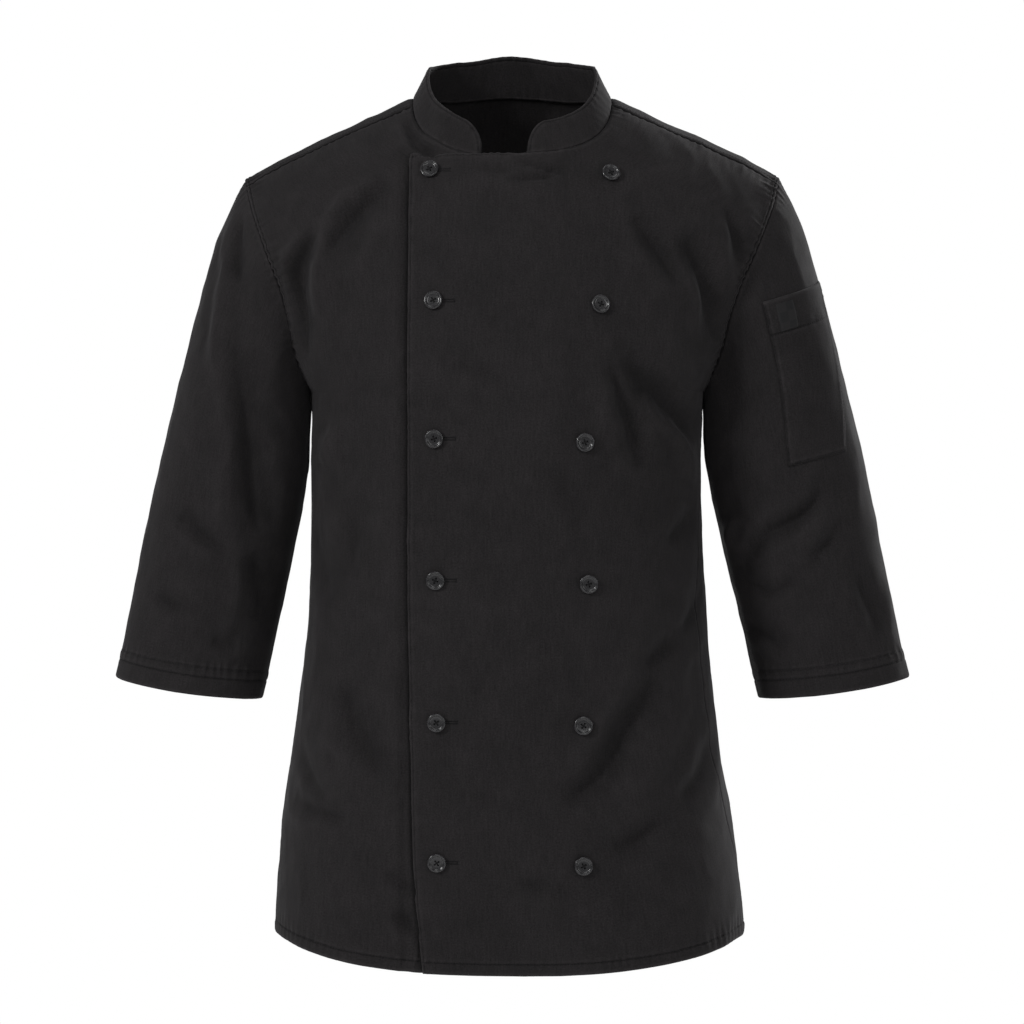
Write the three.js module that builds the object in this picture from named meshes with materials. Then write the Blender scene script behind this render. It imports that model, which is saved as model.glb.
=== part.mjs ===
// Double-breasted chef jacket, filled out as if worn. Millimetres, +Z up.
// The front faces -Y, so the wearer's left is +X. The origin is midway between the two
// neck points, where the shoulders carry the jacket.
import * as THREE from 'three';

// Cloth and seams
const CLOTH = 1.8;            // wall of every panel, its hems and seams evened out
const POCKET_CLOTH = 1.3;
const LABEL_CLOTH = 1.0;
const SEAM_GAP = 0.4;         // between two panels that meet
const LAP_GAP = 0.9;          // between the lap and the front under it
const VALLEY = 0.03;          // rise of a panel from its seam, above which the seam is a valley

// Body form: sections by height below the underarm
const HEM_LEVEL = -760;
const UNDERARM = -260;
const SQUARENESS = 2.5;       // 2 is an ellipse, more is squarer
const BODY = [
  { z: -760, middle: -2, half: 208, front: 128, back: 120 },
  { z: -700, middle: -2.7, half: 205, front: 129, back: 119 },
  { z: -640, middle: -4, half: 198.5, front: 130, back: 116 },
  { z: -585, middle: -5, half: 190, front: 130, back: 111 },
  { z: -535, middle: -5, half: 183.5, front: 130, back: 106 },
  { z: -485, middle: -4.5, half: 177.5, front: 131, back: 103 },
  { z: -430, middle: -4.4, half: 173.5, front: 133, back: 104 },
  { z: -375, middle: -4.9, half: 171.5, front: 135, back: 108 },
  { z: -320, middle: -5.2, half: 171.5, front: 136, back: 113 },
  { z: -260, middle: -4, half: 172, front: 136, back: 117 },
];

// Above the underarm a section is a share of the way up to the shoulder crest. It runs on
// past the armhole, which cuts it at `armhole`.
const YOKE = [
  { share: 0, middle: -4, half: 172, armhole: 172 },
  { share: 0.15, middle: -3.2, half: 191, armhole: 185 },
  { share: 0.3, middle: -2.4, half: 206, armhole: 192 },
  { share: 0.45, middle: -1.6, half: 222, armhole: 201.5 },
  { share: 0.6, middle: -0.8, half: 238, armhole: 213 },
  { share: 0.8, middle: 0, half: 249, armhole: 226 },
  { share: 1, middle: 0, half: 255, armhole: 236 },
];
const CHEST_ROUND = 1.8;      // profile from chest to crest, 2 is a quarter circle
const SHOULDER_BLADE_ROUND = 2.4;
const CREST_TOP = 27.6;       // where the shoulder slopes would meet over the neck
const CREST_SLOPE = 0.485;
const CREST_ROUND = 45;
const SHOULDER_TIP_FROM = 180;
const SHOULDER_TIP_DROP = 0.00145;
const SHOULDER_SEAM = 0.96;   // share of the forward shoulder seam on the front

// Neckline
const NECK_HALF = 88;
const NECK_DROP = 56.4;       // front neckline below the neck point
const NECK_SQUARENESS = 2.6;
const NAPE_DEPTH = 53;
const NAPE_SQUARENESS = 2.2;
const FRONT_CORNER = 45;      // half-width of the flatter part of the front neckline
const NAPE_CORNER = 30;

// Lap of the fronts: how far the edge lies past the middle, by height
const LAP = [
  { z: -760, reach: 76 },
  { z: -680, reach: 83 },
  { z: -550, reach: 86.5 },
  { z: -400, reach: 88.8 },
  { z: -50, reach: 88.4 },
];
const SIDE_SEAM_LEAN = 22;    // degrees that the wearer's left side seam swings forward
const HEM_CENTRE = -759.2;
const HEM_RISE = 24.2;        // from centre to side
const HEM_CURVE = 2.6;

// Sleeves: outer and inner edge by height, as distances from the middle of the body
const SLEEVE = [
  { z: -540, outer: 357, inner_right: 225, inner_left: 220.5, depth: 42 },
  { z: -483, outer: 344.7, inner_right: 211.8, inner_left: 207.5, depth: 45 },
  { z: -430, outer: 334, inner_right: 199.9, inner_left: 195.5, depth: 48 },
  { z: -376, outer: 323, inner_right: 189.3, inner_left: 183, depth: 52 },
  { z: -323, outer: 311.5, inner_right: 180.6, inner_left: 172, depth: 56 },
  { z: -257, outer: 296, inner_right: 176, inner_left: 168, depth: 59 },
  { z: -204, outer: 283, inner_right: 158, inner_left: 154, depth: 61 },
  { z: -150, outer: 268, inner_right: 139, inner_left: 137, depth: 60 },
  { z: -110, outer: 254.5, inner_right: 123, inner_left: 122, depth: 55 },
  { z: -60, outer: 229, inner_right: 100, inner_left: 100, depth: 45 },
];
const SLEEVE_BLEND = 130;     // length over which the armhole's own shape fades out
const CUFF_OUTER = -511;
const CUFF_DROP = 19;         // from outer to inner end of the cuff
const CUFF_SAG = 3;           // of its front and back
const SLEEVE_ROWS = 13;

// Collar
const COLLAR_BACK = 36;
const COLLAR_FRONT = 29;
const COLLAR_LEAN = 18;       // how far its top leans in towards the neck
const COLLAR_END_ROUND = 24;  // length of each rounded front end
const COLLAR_LIFT = 1.5;      // clear of the faceted edge that it stands on
const COLLAR_END_LEAST = 0.12; // share of the height left at the very end
const COLLAR_END_RIGHT = -19.5;
const COLLAR_END_LEFT = 23.5;
const COLLAR_RISE_FROM = -15; // it grows from its front to its back height over these depths
const COLLAR_RISE_TO = 55;
const COLLAR_ROWS = 3;
const COLLAR_COLUMNS = 38;

// Patch pocket on the wearer's left sleeve: its corners by height and by degrees round from
// the sleeve's outer line to the front
const POCKET = {
  top: { fore: { z: -183, turn: 86 }, rear: { z: -161, turn: 12 } },
  bottom: { fore: { z: -326, turn: 92 }, rear: { z: -311.5, turn: 37 } },
};
const POCKET_COLUMNS = 10;
const POCKET_ROWS = 14;
const POCKET_LIFT = 1.2;      // clears the ridges of the cloth that it lies on
// Label on the pocket, as shares of the pocket's width and height from its top fore corner
const LABEL = { from: 0.15, width: 0.23, below: 0.03, height: 0.18 };
const LABEL_CELLS = 3;

// Buttons
const BUTTON_RADIUS = 8;
const BUTTON_THICK = 3.2;
const BUTTON_DISH = 1;
const BUTTON_SIDES = 12;
const BUTTON_LIFT = 0.4;
const BUTTON_STAGGER = 3;     // the wearer's left column sits this much lower
const BUTTON_ROWS = [
  { z: -72, right: -70.4, left: 84.2 },
  { z: -186, right: -66.2, left: 74.7 },
  { z: -303, right: -65.3, left: 61.1 },
  { z: -423, right: -64.5, left: 64.5 },
  { z: -543.5, right: -63.7, left: 60.3 },
  { z: -662.5, right: -63.7, left: 60.3 },
];

// Grid sizes
const BODY_ROWS = 12;         // hem to underarm
const CHEST_SHARES = [0.12, 0.25, 0.38, 0.5, 0.63];
const FRONT_SHOULDER_SHARES = [0.83, 0.9];
const BACK_SHARES = [0.17, 0.34, 0.51, 0.67, 0.82];
const NAPE_SHARES = [0.965, 0.98, 0.993];
const LAP_COLUMNS = 7;
const SIDE_COLUMNS = 9;
const NAPE_COLUMNS = 2;

// Largest folds: a soft trough (or ridge, where depth is negative) along a straight line, seen
// from the front. `face` is -1 on the front and 1 on the back.
const BODY_FOLDS = [
  { face: -1, from: [-103, -82], to: [-163, -152], width: 12, depth: 4 },
  { face: -1, from: [-168, -122], to: [-180, -230], width: 9, depth: 5 },
  { face: -1, from: [-158, -124], to: [-163, -190], width: 10, depth: -3 },
  { face: -1, from: [100, -108], to: [146, -170], width: 14, depth: 4 },
  { face: -1, from: [150, -130], to: [174, -214], width: 11, depth: 4 },
  { face: -1, from: [98, -238], to: [156, -302], width: 14, depth: 4 },
  { face: -1, from: [132, -280], to: [158, -336], width: 12, depth: -3 },
  { face: -1, from: [90, -244], to: [110, -324], width: 12, depth: 3 },
  { face: -1, from: [124, -505], to: [50, -612], width: 16, depth: 4 },
  { face: -1, from: [158, -364], to: [112, -412], width: 13, depth: 3 },
  { face: -1, from: [-139, -350], to: [-139, -430], width: 16, depth: 3 },
  { face: -1, from: [-146, -514], to: [-108, -588], width: 16, depth: 4 },
  { face: 1, from: [168, -150], to: [112, -262], width: 15, depth: 4 },
  { face: 1, from: [-166, -148], to: [-118, -250], width: 15, depth: 4 },
  { face: 1, from: [120, -420], to: [36, -470], width: 18, depth: 4 },
  { face: 1, from: [-132, -408], to: [-40, -446], width: 17, depth: 4 },
  { face: 1, from: [-96, -560], to: [-70, -700], width: 20, depth: 4 },
  { face: 1, from: [84, -540], to: [104, -690], width: 20, depth: 3 },
];
const SLEEVE_FOLDS = [
  { face: -1, from: [-236, -104], to: [-242, -168], width: 10, depth: 3 },
  { face: -1, from: [-290, -366], to: [-246, -402], width: 14, depth: 3 },
  { face: -1, from: [-252, -250], to: [-238, -390], width: 16, depth: 4 },
  { face: -1, from: [276, -340], to: [212, -392], width: 13, depth: 5 },
  { face: -1, from: [282, -352], to: [232, -404], width: 12, depth: -3 },
  { face: 1, from: [-286, -330], to: [-232, -372], width: 15, depth: 4 },
  { face: 1, from: [290, -318], to: [228, -372], width: 15, depth: 4 },
];

const BLACK_COTTON = { color: 0x1b1a1c, roughness: 0.9, metalness: 0 };
const LABEL_CLOTH_COLOUR = { color: 0x0d0d0e, roughness: 0.7, metalness: 0 };
const BLACK_RESIN = { color: 0x08080a, roughness: 0.25, metalness: 0 };

const { lerp, clamp, smoothstep, degToRad } = THREE.MathUtils;

// A column of a table at a place between its rows, by a smooth curve through them.
function along(table, key, column, at) {
  const rows = table[0][key] < table[table.length - 1][key] ? table : [...table].reverse();
  const last = rows.length - 1;
  let low = 0;
  while (low < last - 1 && at > rows[low + 1][key]) low += 1;
  const slope = (i) => {
    const before = rows[Math.max(i - 1, 0)];
    const after = rows[Math.min(i + 1, last)];
    return (after[column] - before[column]) / (after[key] - before[key]);
  };
  const step = rows[low + 1][key] - rows[low][key];
  const t = clamp((at - rows[low][key]) / step, 0, 1);
  const from = rows[low][column];
  const to = rows[low + 1][column];
  const bend = t * (1 - t) * ((1 - t) * (slope(low) * step - (to - from))
    - t * (slope(low + 1) * step - (to - from)));
  return lerp(from, to, t) + bend;
}

// Rounded fall from 1 to 0 as `share` goes from 0 to 1.
const rounded = (share, power) => (1 - clamp(Math.abs(share), 0, 1) ** power) ** (1 / power);

function crest(x) {
  const slope = CREST_SLOPE * (Math.hypot(x, CREST_ROUND) - CREST_ROUND);
  const tip = Math.max(0, Math.abs(x) - SHOULDER_TIP_FROM);
  return CREST_TOP - slope - SHOULDER_TIP_DROP * tip * tip;
}

// A level is { z } below the underarm, or { share } of the way up to the crest above it.
function section(level) {
  const low = level.z !== undefined;
  const read = (name) => (low ? along(BODY, 'z', name, level.z) : along(YOKE, 'share', name, level.share));
  return { middle: read('middle'), half: read('half') };
}

// Degrees round from the centre front to the side of the body at this x.
function angleAt(level, x) {
  const { middle, half } = section(level);
  const across = clamp((x - middle) / half, -1, 1);
  return Math.sign(across) * Math.asin(Math.abs(across) ** (SQUARENESS / 2));
}

// A point of the body's form. `angle` is 0 at the middle and a right angle at the side.
function bodyPoint(level, angle, face) {
  const { middle, half } = section(level);
  const across = Math.sign(angle) * Math.abs(Math.sin(angle)) ** (2 / SQUARENESS);
  const away = Math.max(Math.cos(angle), 0) ** (2 / SQUARENESS);
  const x = middle + half * across;
  const side = face < 0 ? 'front' : 'back';
  if (level.z !== undefined) {
    return new THREE.Vector3(x, face * along(BODY, 'z', side, level.z) * away, level.z);
  }
  const depth = along(BODY, 'z', side, UNDERARM);
  const power = face < 0 ? CHEST_ROUND : SHOULDER_BLADE_ROUND;
  const y = face * depth * away * rounded(level.share, power);
  return new THREE.Vector3(x, y, lerp(UNDERARM, crest(x), level.share));
}

const pointAt = (level, x, face) => bodyPoint(level, angleAt(level, x), face);

function hemHeight(x) {
  return HEM_CENTRE + HEM_RISE * (Math.abs(x) / BODY[0].half) ** HEM_CURVE;
}

// Height of the front neckline, which is level under the lap's top edge.
const neckHeight = (x) => -NECK_DROP * rounded(x / NECK_HALF, NECK_SQUARENESS);
const shareAtHeight = (x, z) => (z - UNDERARM) / (crest(x) - UNDERARM);

function napeShare(x) {
  const depth = along(BODY, 'z', 'back', UNDERARM);
  const y = NAPE_DEPTH * rounded(x / NECK_HALF, NAPE_SQUARENESS);
  return rounded(y / depth, SHOULDER_BLADE_ROUND);
}

// Where a neckline crosses a level, between its corner and the neck point.
function neckCrossing(share, corner, shareOf) {
  let inside = corner;
  let outside = NECK_HALF;
  for (let i = 0; i < 30; i += 1) {
    const x = (inside + outside) / 2;
    if (shareOf(x) < share) inside = x;
    else outside = x;
  }
  return inside;
}

const frontNeckShare = (x) => shareAtHeight(x, neckHeight(x));
const FRONT_CORNER_SHARE = frontNeckShare(FRONT_CORNER);
const NAPE_CORNER_SHARE = napeShare(NAPE_CORNER);

// The side seam's angle. Only the wearer's left one swings forward, and the back follows it.
function sideSeamAngle(level, side) {
  if (level.z === undefined || side < 0) return Math.PI / 2;
  const down = clamp((level.z - UNDERARM) / (HEM_LEVEL - UNDERARM), 0, 1);
  return Math.PI / 2 - degToRad(SIDE_SEAM_LEAN) * Math.sin(Math.PI * down);
}

function armholeAngle(level) {
  const reach = along(YOKE, 'share', 'armhole', level.share);
  return Math.asin((reach / section(level).half) ** (SQUARENESS / 2));
}

const outerAngle = (level, side) => (
  level.share > 0 ? armholeAngle(level) : sideSeamAngle(level, side));

// Level of a row of the body at one x: rows count from the hem, then go on by shares, which
// `stretch` moves so that the last one meets the neckline.
function levelAt(row, shares, x, stretch = 1) {
  if (row <= BODY_ROWS) return { z: lerp(hemHeight(x), UNDERARM, row / BODY_ROWS) };
  return { share: shares[row - BODY_ROWS - 1] * stretch };
}

// Points of a seam are kept by name, so that the panels on both sides hold the same ones.
const seams = new Map();
function seamPoint(name, make) {
  if (!seams.has(name)) seams.set(name, make());
  return seams.get(name);
}

const rowName = (side, face, row) => (
  row <= BODY_ROWS ? `side ${side} ${row}` : `armhole ${side} ${face} ${row}`);

// One front panel as two grids, body and shoulder, columns from the lap edge to the side.
function frontGrids(side) {
  const shares = [...CHEST_SHARES, FRONT_CORNER_SHARE];
  const stretch = (x) => {
    const top = x * side > 0 ? neckHeight(x) : -NECK_DROP;
    return shareAtHeight(x, top) / FRONT_CORNER_SHARE;
  };
  const body = [];
  for (let row = 0; row <= BODY_ROWS + shares.length; row += 1) {
    const points = [];
    const nominal = levelAt(row, shares, 0);
    const height = nominal.z ?? lerp(UNDERARM, 0, nominal.share);
    const edge = -side * along(LAP, 'z', 'reach', height);
    for (let i = 0; i < LAP_COLUMNS; i += 1) {
      const x = lerp(edge, side * FRONT_CORNER, i / LAP_COLUMNS);
      points.push(pointAt(levelAt(row, shares, x, stretch(x)), x, -1));
    }
    const start = angleAt(nominal, side * FRONT_CORNER);
    for (let i = 0; i <= SIDE_COLUMNS; i += 1) {
      const end = side * outerAngle(nominal, side);
      const angle = lerp(start, end, i / SIDE_COLUMNS);
      const x = bodyPoint(nominal, angle, -1).x;
      const level = levelAt(row, shares, x);
      const make = () => bodyPoint(level, angle, -1);
      points.push(i < SIDE_COLUMNS ? make() : seamPoint(rowName(side, -1, row), make));
    }
    body.push(points);
  }
  const shoulder = [body[body.length - 1].slice(LAP_COLUMNS)];
  [...FRONT_SHOULDER_SHARES, SHOULDER_SEAM].forEach((share, step) => {
    const level = { share };
    const neck = neckCrossing(share, FRONT_CORNER, frontNeckShare);
    const start = angleAt(level, side * neck);
    const atSeam = share === SHOULDER_SEAM;
    const points = [];
    for (let i = 0; i <= SIDE_COLUMNS; i += 1) {
      const angle = lerp(start, side * armholeAngle(level), i / SIDE_COLUMNS);
      const make = () => bodyPoint(level, angle, -1);
      const name = atSeam
        ? `shoulder ${side} ${i}`
        : rowName(side, -1, BODY_ROWS + shares.length + 1 + step);
      const shared = atSeam || i === SIDE_COLUMNS;
      points.push(shared ? seamPoint(name, make) : make());
    }
    shoulder.push(points);
  });
  return { body, shoulder };
}

// The back as a grid to the nape and one over each shoulder, columns from the wearer's left.
function backGrids() {
  const shares = [...BACK_SHARES, NAPE_CORNER_SHARE];
  const body = [];
  for (let row = 0; row <= BODY_ROWS + shares.length; row += 1) {
    const halves = [1, -1].map((side) => {
      const nominal = levelAt(row, shares, 0);
      const start = angleAt(nominal, side * NAPE_CORNER);
      const points = [];
      for (let i = 0; i <= SIDE_COLUMNS; i += 1) {
        const seam = side * outerAngle(nominal, side);
        const lean = side * Math.PI / 2 - seam;
        const end = row <= BODY_ROWS ? side * Math.PI / 2 + lean : seam;
        const angle = lerp(start, end, i / SIDE_COLUMNS);
        const overFront = Math.abs(angle) > Math.PI / 2;
        const shown = overFront ? Math.sign(angle) * Math.PI - angle : angle;
        const face = overFront ? -1 : 1;
        const x = bodyPoint(nominal, shown, face).x;
        const level = levelAt(row, shares, x);
        const make = () => bodyPoint(level, shown, face);
        points.push(i < SIDE_COLUMNS ? make() : seamPoint(rowName(side, 1, row), make));
      }
      return points;
    });
    const centre = [];
    for (let i = 1; i < 2 * NAPE_COLUMNS; i += 1) {
      const x = lerp(NAPE_CORNER, -NAPE_CORNER, i / (2 * NAPE_COLUMNS));
      const stretch = napeShare(x) / NAPE_CORNER_SHARE;
      centre.push(pointAt(levelAt(row, shares, x, stretch), x, 1));
    }
    body.push([...halves[0].reverse(), ...centre, ...halves[1]]);
  }
  const top = body[body.length - 1];
  const shoulders = [1, -1].map((side) => {
    const inOrder = (row) => (side > 0 ? [...row].reverse() : row);
    const grid = [side > 0 ? top.slice(0, SIDE_COLUMNS + 1) : top.slice(-SIDE_COLUMNS - 1)];
    [...NAPE_SHARES, 1].forEach((share, step) => {
      const level = { share };
      const neck = share < 1 ? neckCrossing(share, NAPE_CORNER, napeShare) : NECK_HALF;
      const start = angleAt(level, side * neck);
      const points = [];
      for (let i = 0; i <= SIDE_COLUMNS; i += 1) {
        const angle = lerp(start, side * armholeAngle(level), i / SIDE_COLUMNS);
        const make = () => bodyPoint(level, angle, 1);
        const name = rowName(side, 1, BODY_ROWS + shares.length + 1 + step);
        points.push(i < SIDE_COLUMNS ? make() : seamPoint(name, make));
      }
      grid.push(inOrder(points));
    });
    const seam = [];
    for (let i = 0; i <= SIDE_COLUMNS; i += 1) seam.push(seamPoint(`shoulder ${side} ${i}`));
    grid.push(inOrder(seam));
    return grid;
  });
  return { body, shoulders };
}

// Points round an armhole: up the front, over the crest and down the back to the underarm.
function armholeRing(side) {
  const frontRows = CHEST_SHARES.length + 1 + FRONT_SHOULDER_SHARES.length;
  const backRows = BACK_SHARES.length + 1 + NAPE_SHARES.length + 1;
  const ring = [seamPoint(`side ${side} ${BODY_ROWS}`)];
  for (let i = 1; i <= frontRows; i += 1) ring.push(seamPoint(rowName(side, -1, BODY_ROWS + i)));
  ring.push(seamPoint(`shoulder ${side} ${SIDE_COLUMNS}`));
  for (let i = backRows; i >= 1; i -= 1) ring.push(seamPoint(rowName(side, 1, BODY_ROWS + i)));
  return ring;
}

// A sleeve's section at a height is an ellipse. `turn` is 0 on its outer line, and a right
// angle at the front.
function sleeveSection(side, z) {
  const outer = along(SLEEVE, 'z', 'outer', z);
  const inner = along(SLEEVE, 'z', side < 0 ? 'inner_right' : 'inner_left', z);
  return { middle: (outer + inner) / 2, half: (outer - inner) / 2, depth: along(SLEEVE, 'z', 'depth', z) };
}

function sleevePoint(side, z, turn) {
  const { middle, half, depth } = sleeveSection(side, z);
  return new THREE.Vector3(side * (middle + half * Math.cos(turn)), -depth * Math.sin(turn), z);
}

function turnOf(side, point) {
  const { middle, half, depth } = sleeveSection(side, point.z);
  return Math.atan2(-point.y / depth, (side * point.x - middle) / half);
}

function cuffHeight(turn) {
  return CUFF_OUTER - CUFF_DROP * (1 - Math.cos(turn)) / 2 - CUFF_SAG * Math.sin(turn) ** 2;
}

// Rows from the armhole to the cuff. Each keeps the armhole's own shape less than the last.
function sleeveGrid(side) {
  const ring = armholeRing(side);
  const turns = ring.map((point, i) => (i === 0 ? Math.PI : turnOf(side, point)));
  const grid = [ring];
  for (let row = 1; row <= SLEEVE_ROWS; row += 1) {
    grid.push(ring.map((point, i) => {
      const z = lerp(point.z, cuffHeight(turns[i]), row / SLEEVE_ROWS);
      const own = point.clone().sub(sleevePoint(side, point.z, turns[i]));
      const kept = 1 - smoothstep(point.z - z, 0, SLEEVE_BLEND);
      return sleevePoint(side, z, turns[i]).addScaledVector(own, kept);
    }));
  }
  return grid.map((row) => [...row, row[0]]);
}

// A surface is a list of points and of triangles that turn left seen from outside. Grids that
// hold the same point are joined there.
function surface(grids) {
  const points = [];
  const indexOf = new Map();
  const place = (point) => {
    if (!indexOf.has(point)) indexOf.set(point, points.push(point) - 1);
    return indexOf.get(point);
  };
  const faces = [];
  for (const grid of grids) {
    for (let row = 0; row + 1 < grid.length; row += 1) {
      for (let i = 0; i + 1 < grid[row].length; i += 1) {
        const [a, b] = [place(grid[row][i]), place(grid[row][i + 1])];
        const [c, d] = [place(grid[row + 1][i + 1]), place(grid[row + 1][i])];
        faces.push([a, b, c], [a, c, d]);
      }
    }
  }
  return { points, faces };
}

const mirrored = (grid) => grid.map((row) => [...row].reverse());

// Normals at all points, shared by the surfaces that meet in a seam.
function sharedNormals(surfaces) {
  const normals = new Map();
  for (const { points, faces } of surfaces) {
    for (const [a, b, c] of faces) {
      const along1 = points[b].clone().sub(points[a]);
      const normal = along1.cross(points[c].clone().sub(points[a]));
      for (const corner of [a, b, c]) {
        const sum = normals.get(points[corner]) ?? new THREE.Vector3();
        normals.set(points[corner], sum.add(normal));
      }
    }
  }
  for (const normal of normals.values()) normal.normalize();
  return normals;
}

// Depth of all folds at a point, for a surface whose normal is given.
function foldDepth(folds, point, normal) {
  let total = 0;
  for (const { face, from, to, width, depth } of folds) {
    const run = [to[0] - from[0], to[1] - from[1]];
    const length = Math.hypot(...run);
    const place = [point.x - from[0], point.z - from[1]];
    const down = (place[0] * run[0] + place[1] * run[1]) / (length * length);
    const nearest = clamp(down, 0, 1);
    const off = Math.hypot(place[0] - nearest * run[0], place[1] - nearest * run[1]);
    const ends = smoothstep(down, -0.2, 0.3) * (1 - smoothstep(down, 0.7, 1.2));
    const shown = smoothstep(face * normal.y, 0.1, 0.5);
    total += depth * Math.exp(-((off / width) ** 2)) * ends * shown;
  }
  return total;
}

function crease(surfaces, folds, fixed = new Set()) {
  const normals = sharedNormals(surfaces);
  for (const [point, normal] of normals) {
    if (!fixed.has(point)) point.addScaledVector(normal, -foldDepth(folds, point, normal));
  }
}

// Sinks the wearer's right front under the lap.
function tuckUnderLap(points, normals) {
  for (const point of points) {
    const beside = smoothstep(point.x, -116, -96);
    const below = 1 - smoothstep(point.z, -NECK_DROP + 2, -NECK_DROP + 14);
    point.addScaledVector(normals.get(point), -(CLOTH + LAP_GAP) * beside * below);
  }
}

// Border edges of a surface, as the next point for each point.
function border(faces) {
  const next = new Map();
  const edges = new Set(faces.flatMap(([a, b, c]) => [`${a} ${b}`, `${b} ${c}`, `${c} ${a}`]));
  for (const edge of edges) {
    const [from, to] = edge.split(' ').map(Number);
    if (!edges.has(`${to} ${from}`)) next.set(from, to);
  }
  return next;
}

// Border points, with the direction along the cloth into the panel and how far a point there
// moves in so that half the seam gap is free. Round a corner it moves in from both edges.
function borderMoves({ points, faces }, own) {
  const next = border(faces);
  const before = new Map([...next].map(([from, to]) => [to, from]));
  const inward = (from, to, normal) => {
    const run = points[to].clone().sub(points[from]);
    return normal.clone().cross(run).normalize();
  };
  const moves = new Map();
  for (const [here, after] of next) {
    const normal = own.get(points[here]);
    const one = inward(before.get(here), here, normal);
    const two = inward(here, after, normal);
    const mitre = Math.max(1 + one.dot(two), 0.5);
    moves.set(here, one.add(two).multiplyScalar(SEAM_GAP / 2 / mitre));
  }
  return { next, moves };
}

function closedGeometry(positions, faces) {
  const geometry = new THREE.BufferGeometry();
  geometry.setAttribute('position', new THREE.Float32BufferAttribute(positions, 3));
  geometry.setIndex(faces.flat());
  geometry.computeVertexNormals();
  return geometry;
}

// A closed wall from an outer surface, `thickness` deep. Where two panels meet in a ridge they
// share the plane between them. In a valley, as at the armpit, each keeps its own square edge
// and draws back from the other's face.
function wall(panel, normals, thickness) {
  const { points, faces } = panel;
  const own = sharedNormals([panel]);
  const { next, moves } = borderMoves(panel, own);
  const count = points.length;
  const outer = [];
  const inner = [];
  points.forEach((point, i) => {
    const move = moves.get(i) ?? new THREE.Vector3();
    const shared = normals.get(point);
    const valley = move.dot(shared) > VALLEY * SEAM_GAP;
    const normal = valley ? own.get(point) : shared;
    const place = point.clone().add(move).addScaledVector(normal, valley ? -SEAM_GAP / 2 : 0);
    outer.push(...place.toArray());
    inner.push(...place.addScaledVector(normal, -thickness).toArray());
  });
  const all = [...faces, ...faces.map(([a, b, c]) => [a + count, c + count, b + count])];
  for (const [from, to] of next) {
    all.push([from, from + count, to + count], [from, to + count, to]);
  }
  return closedGeometry([...outer, ...inner], all);
}

function piece(name, geometry, look) {
  const mesh = new THREE.Mesh(geometry, new THREE.MeshStandardMaterial(look));
  mesh.name = name;
  return mesh;
}

// The collar's foot follows the neckline from one front end round the nape to the other.
function neckCurve(fronts, back) {
  const shoulderSide = (side) => {
    const { body, shoulder } = fronts[side];
    const flat = body[body.length - 1].slice(0, LAP_COLUMNS + 1);
    return [...flat, ...shoulder.slice(1).map((row) => row[0])];
  };
  const nape = back.body[back.body.length - 1].slice(SIDE_COLUMNS, -SIDE_COLUMNS);
  const overLeft = back.shoulders[0].slice(1, -1).map((row) => row[SIDE_COLUMNS]);
  const overRight = back.shoulders[1].slice(1, -1).map((row) => row[0]);
  return new THREE.CatmullRomCurve3([
    ...shoulderSide(-1), ...overRight.reverse(), ...nape.reverse(),
    ...overLeft, ...shoulderSide(1).reverse(),
  ]);
}

// Share of a curve's length at which it passes x on the front, between two shares.
function shareAtX(curve, x, low, high) {
  let [from, to] = [low, high];
  const rising = curve.getPointAt(from).x < curve.getPointAt(to).x;
  for (let i = 0; i < 30; i += 1) {
    const middle = (from + to) / 2;
    if (curve.getPointAt(middle).x < x === rising) from = middle;
    else to = middle;
  }
  return from;
}

function collarSurface(curve) {
  const start = shareAtX(curve, COLLAR_END_RIGHT, 0, 0.3);
  const stop = shareAtX(curve, COLLAR_END_LEFT, 0.7, 1);
  const length = (stop - start) * curve.getLength();
  const grid = [];
  for (let row = 0; row <= COLLAR_ROWS; row += 1) {
    const points = [];
    for (let i = 0; i <= COLLAR_COLUMNS; i += 1) {
      const place = i / COLLAR_COLUMNS;
      const point = curve.getPointAt(lerp(stop, start, place));
      const fromEnd = Math.min(place, 1 - place) * length;
      const full = lerp(COLLAR_FRONT, COLLAR_BACK, smoothstep(point.y, COLLAR_RISE_FROM, COLLAR_RISE_TO));
      const end = rounded(1 - Math.min(fromEnd / COLLAR_END_ROUND, 1), 2);
      const rise = full * Math.max(end, COLLAR_END_LEAST) * row / COLLAR_ROWS;
      const inward = new THREE.Vector3(-point.x, -point.y, 0).normalize();
      const lean = COLLAR_LEAN * rise / COLLAR_BACK;
      points.push(point.addScaledVector(inward, lean));
      point.z += rise + COLLAR_LIFT;
    }
    grid.push(points);
  }
  return surface([grid]);
}

// Points of a patch on the sleeve, found on its cloth and moved out. `place` gives the height
// and turn for shares across and up the patch.
function patchGrid(sleeve, rows, columns, place, lift) {
  const mesh = new THREE.Mesh(sleeve, new THREE.MeshBasicMaterial());
  const caster = new THREE.Raycaster();
  const grid = [];
  for (let row = 0; row <= rows; row += 1) {
    const points = [];
    for (let i = 0; i <= columns; i += 1) {
      const { z, turn } = place(i / columns, row / rows);
      const { middle } = sleeveSection(1, z);
      const out = new THREE.Vector3(Math.cos(turn), -Math.sin(turn), 0);
      const start = new THREE.Vector3(middle, 0, z).addScaledVector(out, 2 * middle);
      caster.set(start, out.clone().negate());
      const [hit] = caster.intersectObject(mesh);
      points.push(hit.point.addScaledVector(out, lift));
    }
    grid.push(points);
  }
  return grid;
}

function pocketPlace(across, up) {
  const { top, bottom } = POCKET;
  const between = (key) => lerp(
    lerp(bottom.fore[key], bottom.rear[key], across),
    lerp(top.fore[key], top.rear[key], across),
    up,
  );
  return { z: between('z'), turn: degToRad(between('turn')) };
}

function labelPlace(across, up) {
  return pocketPlace(LABEL.from + across * LABEL.width, 1 - LABEL.below - (1 - up) * LABEL.height);
}

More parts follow.
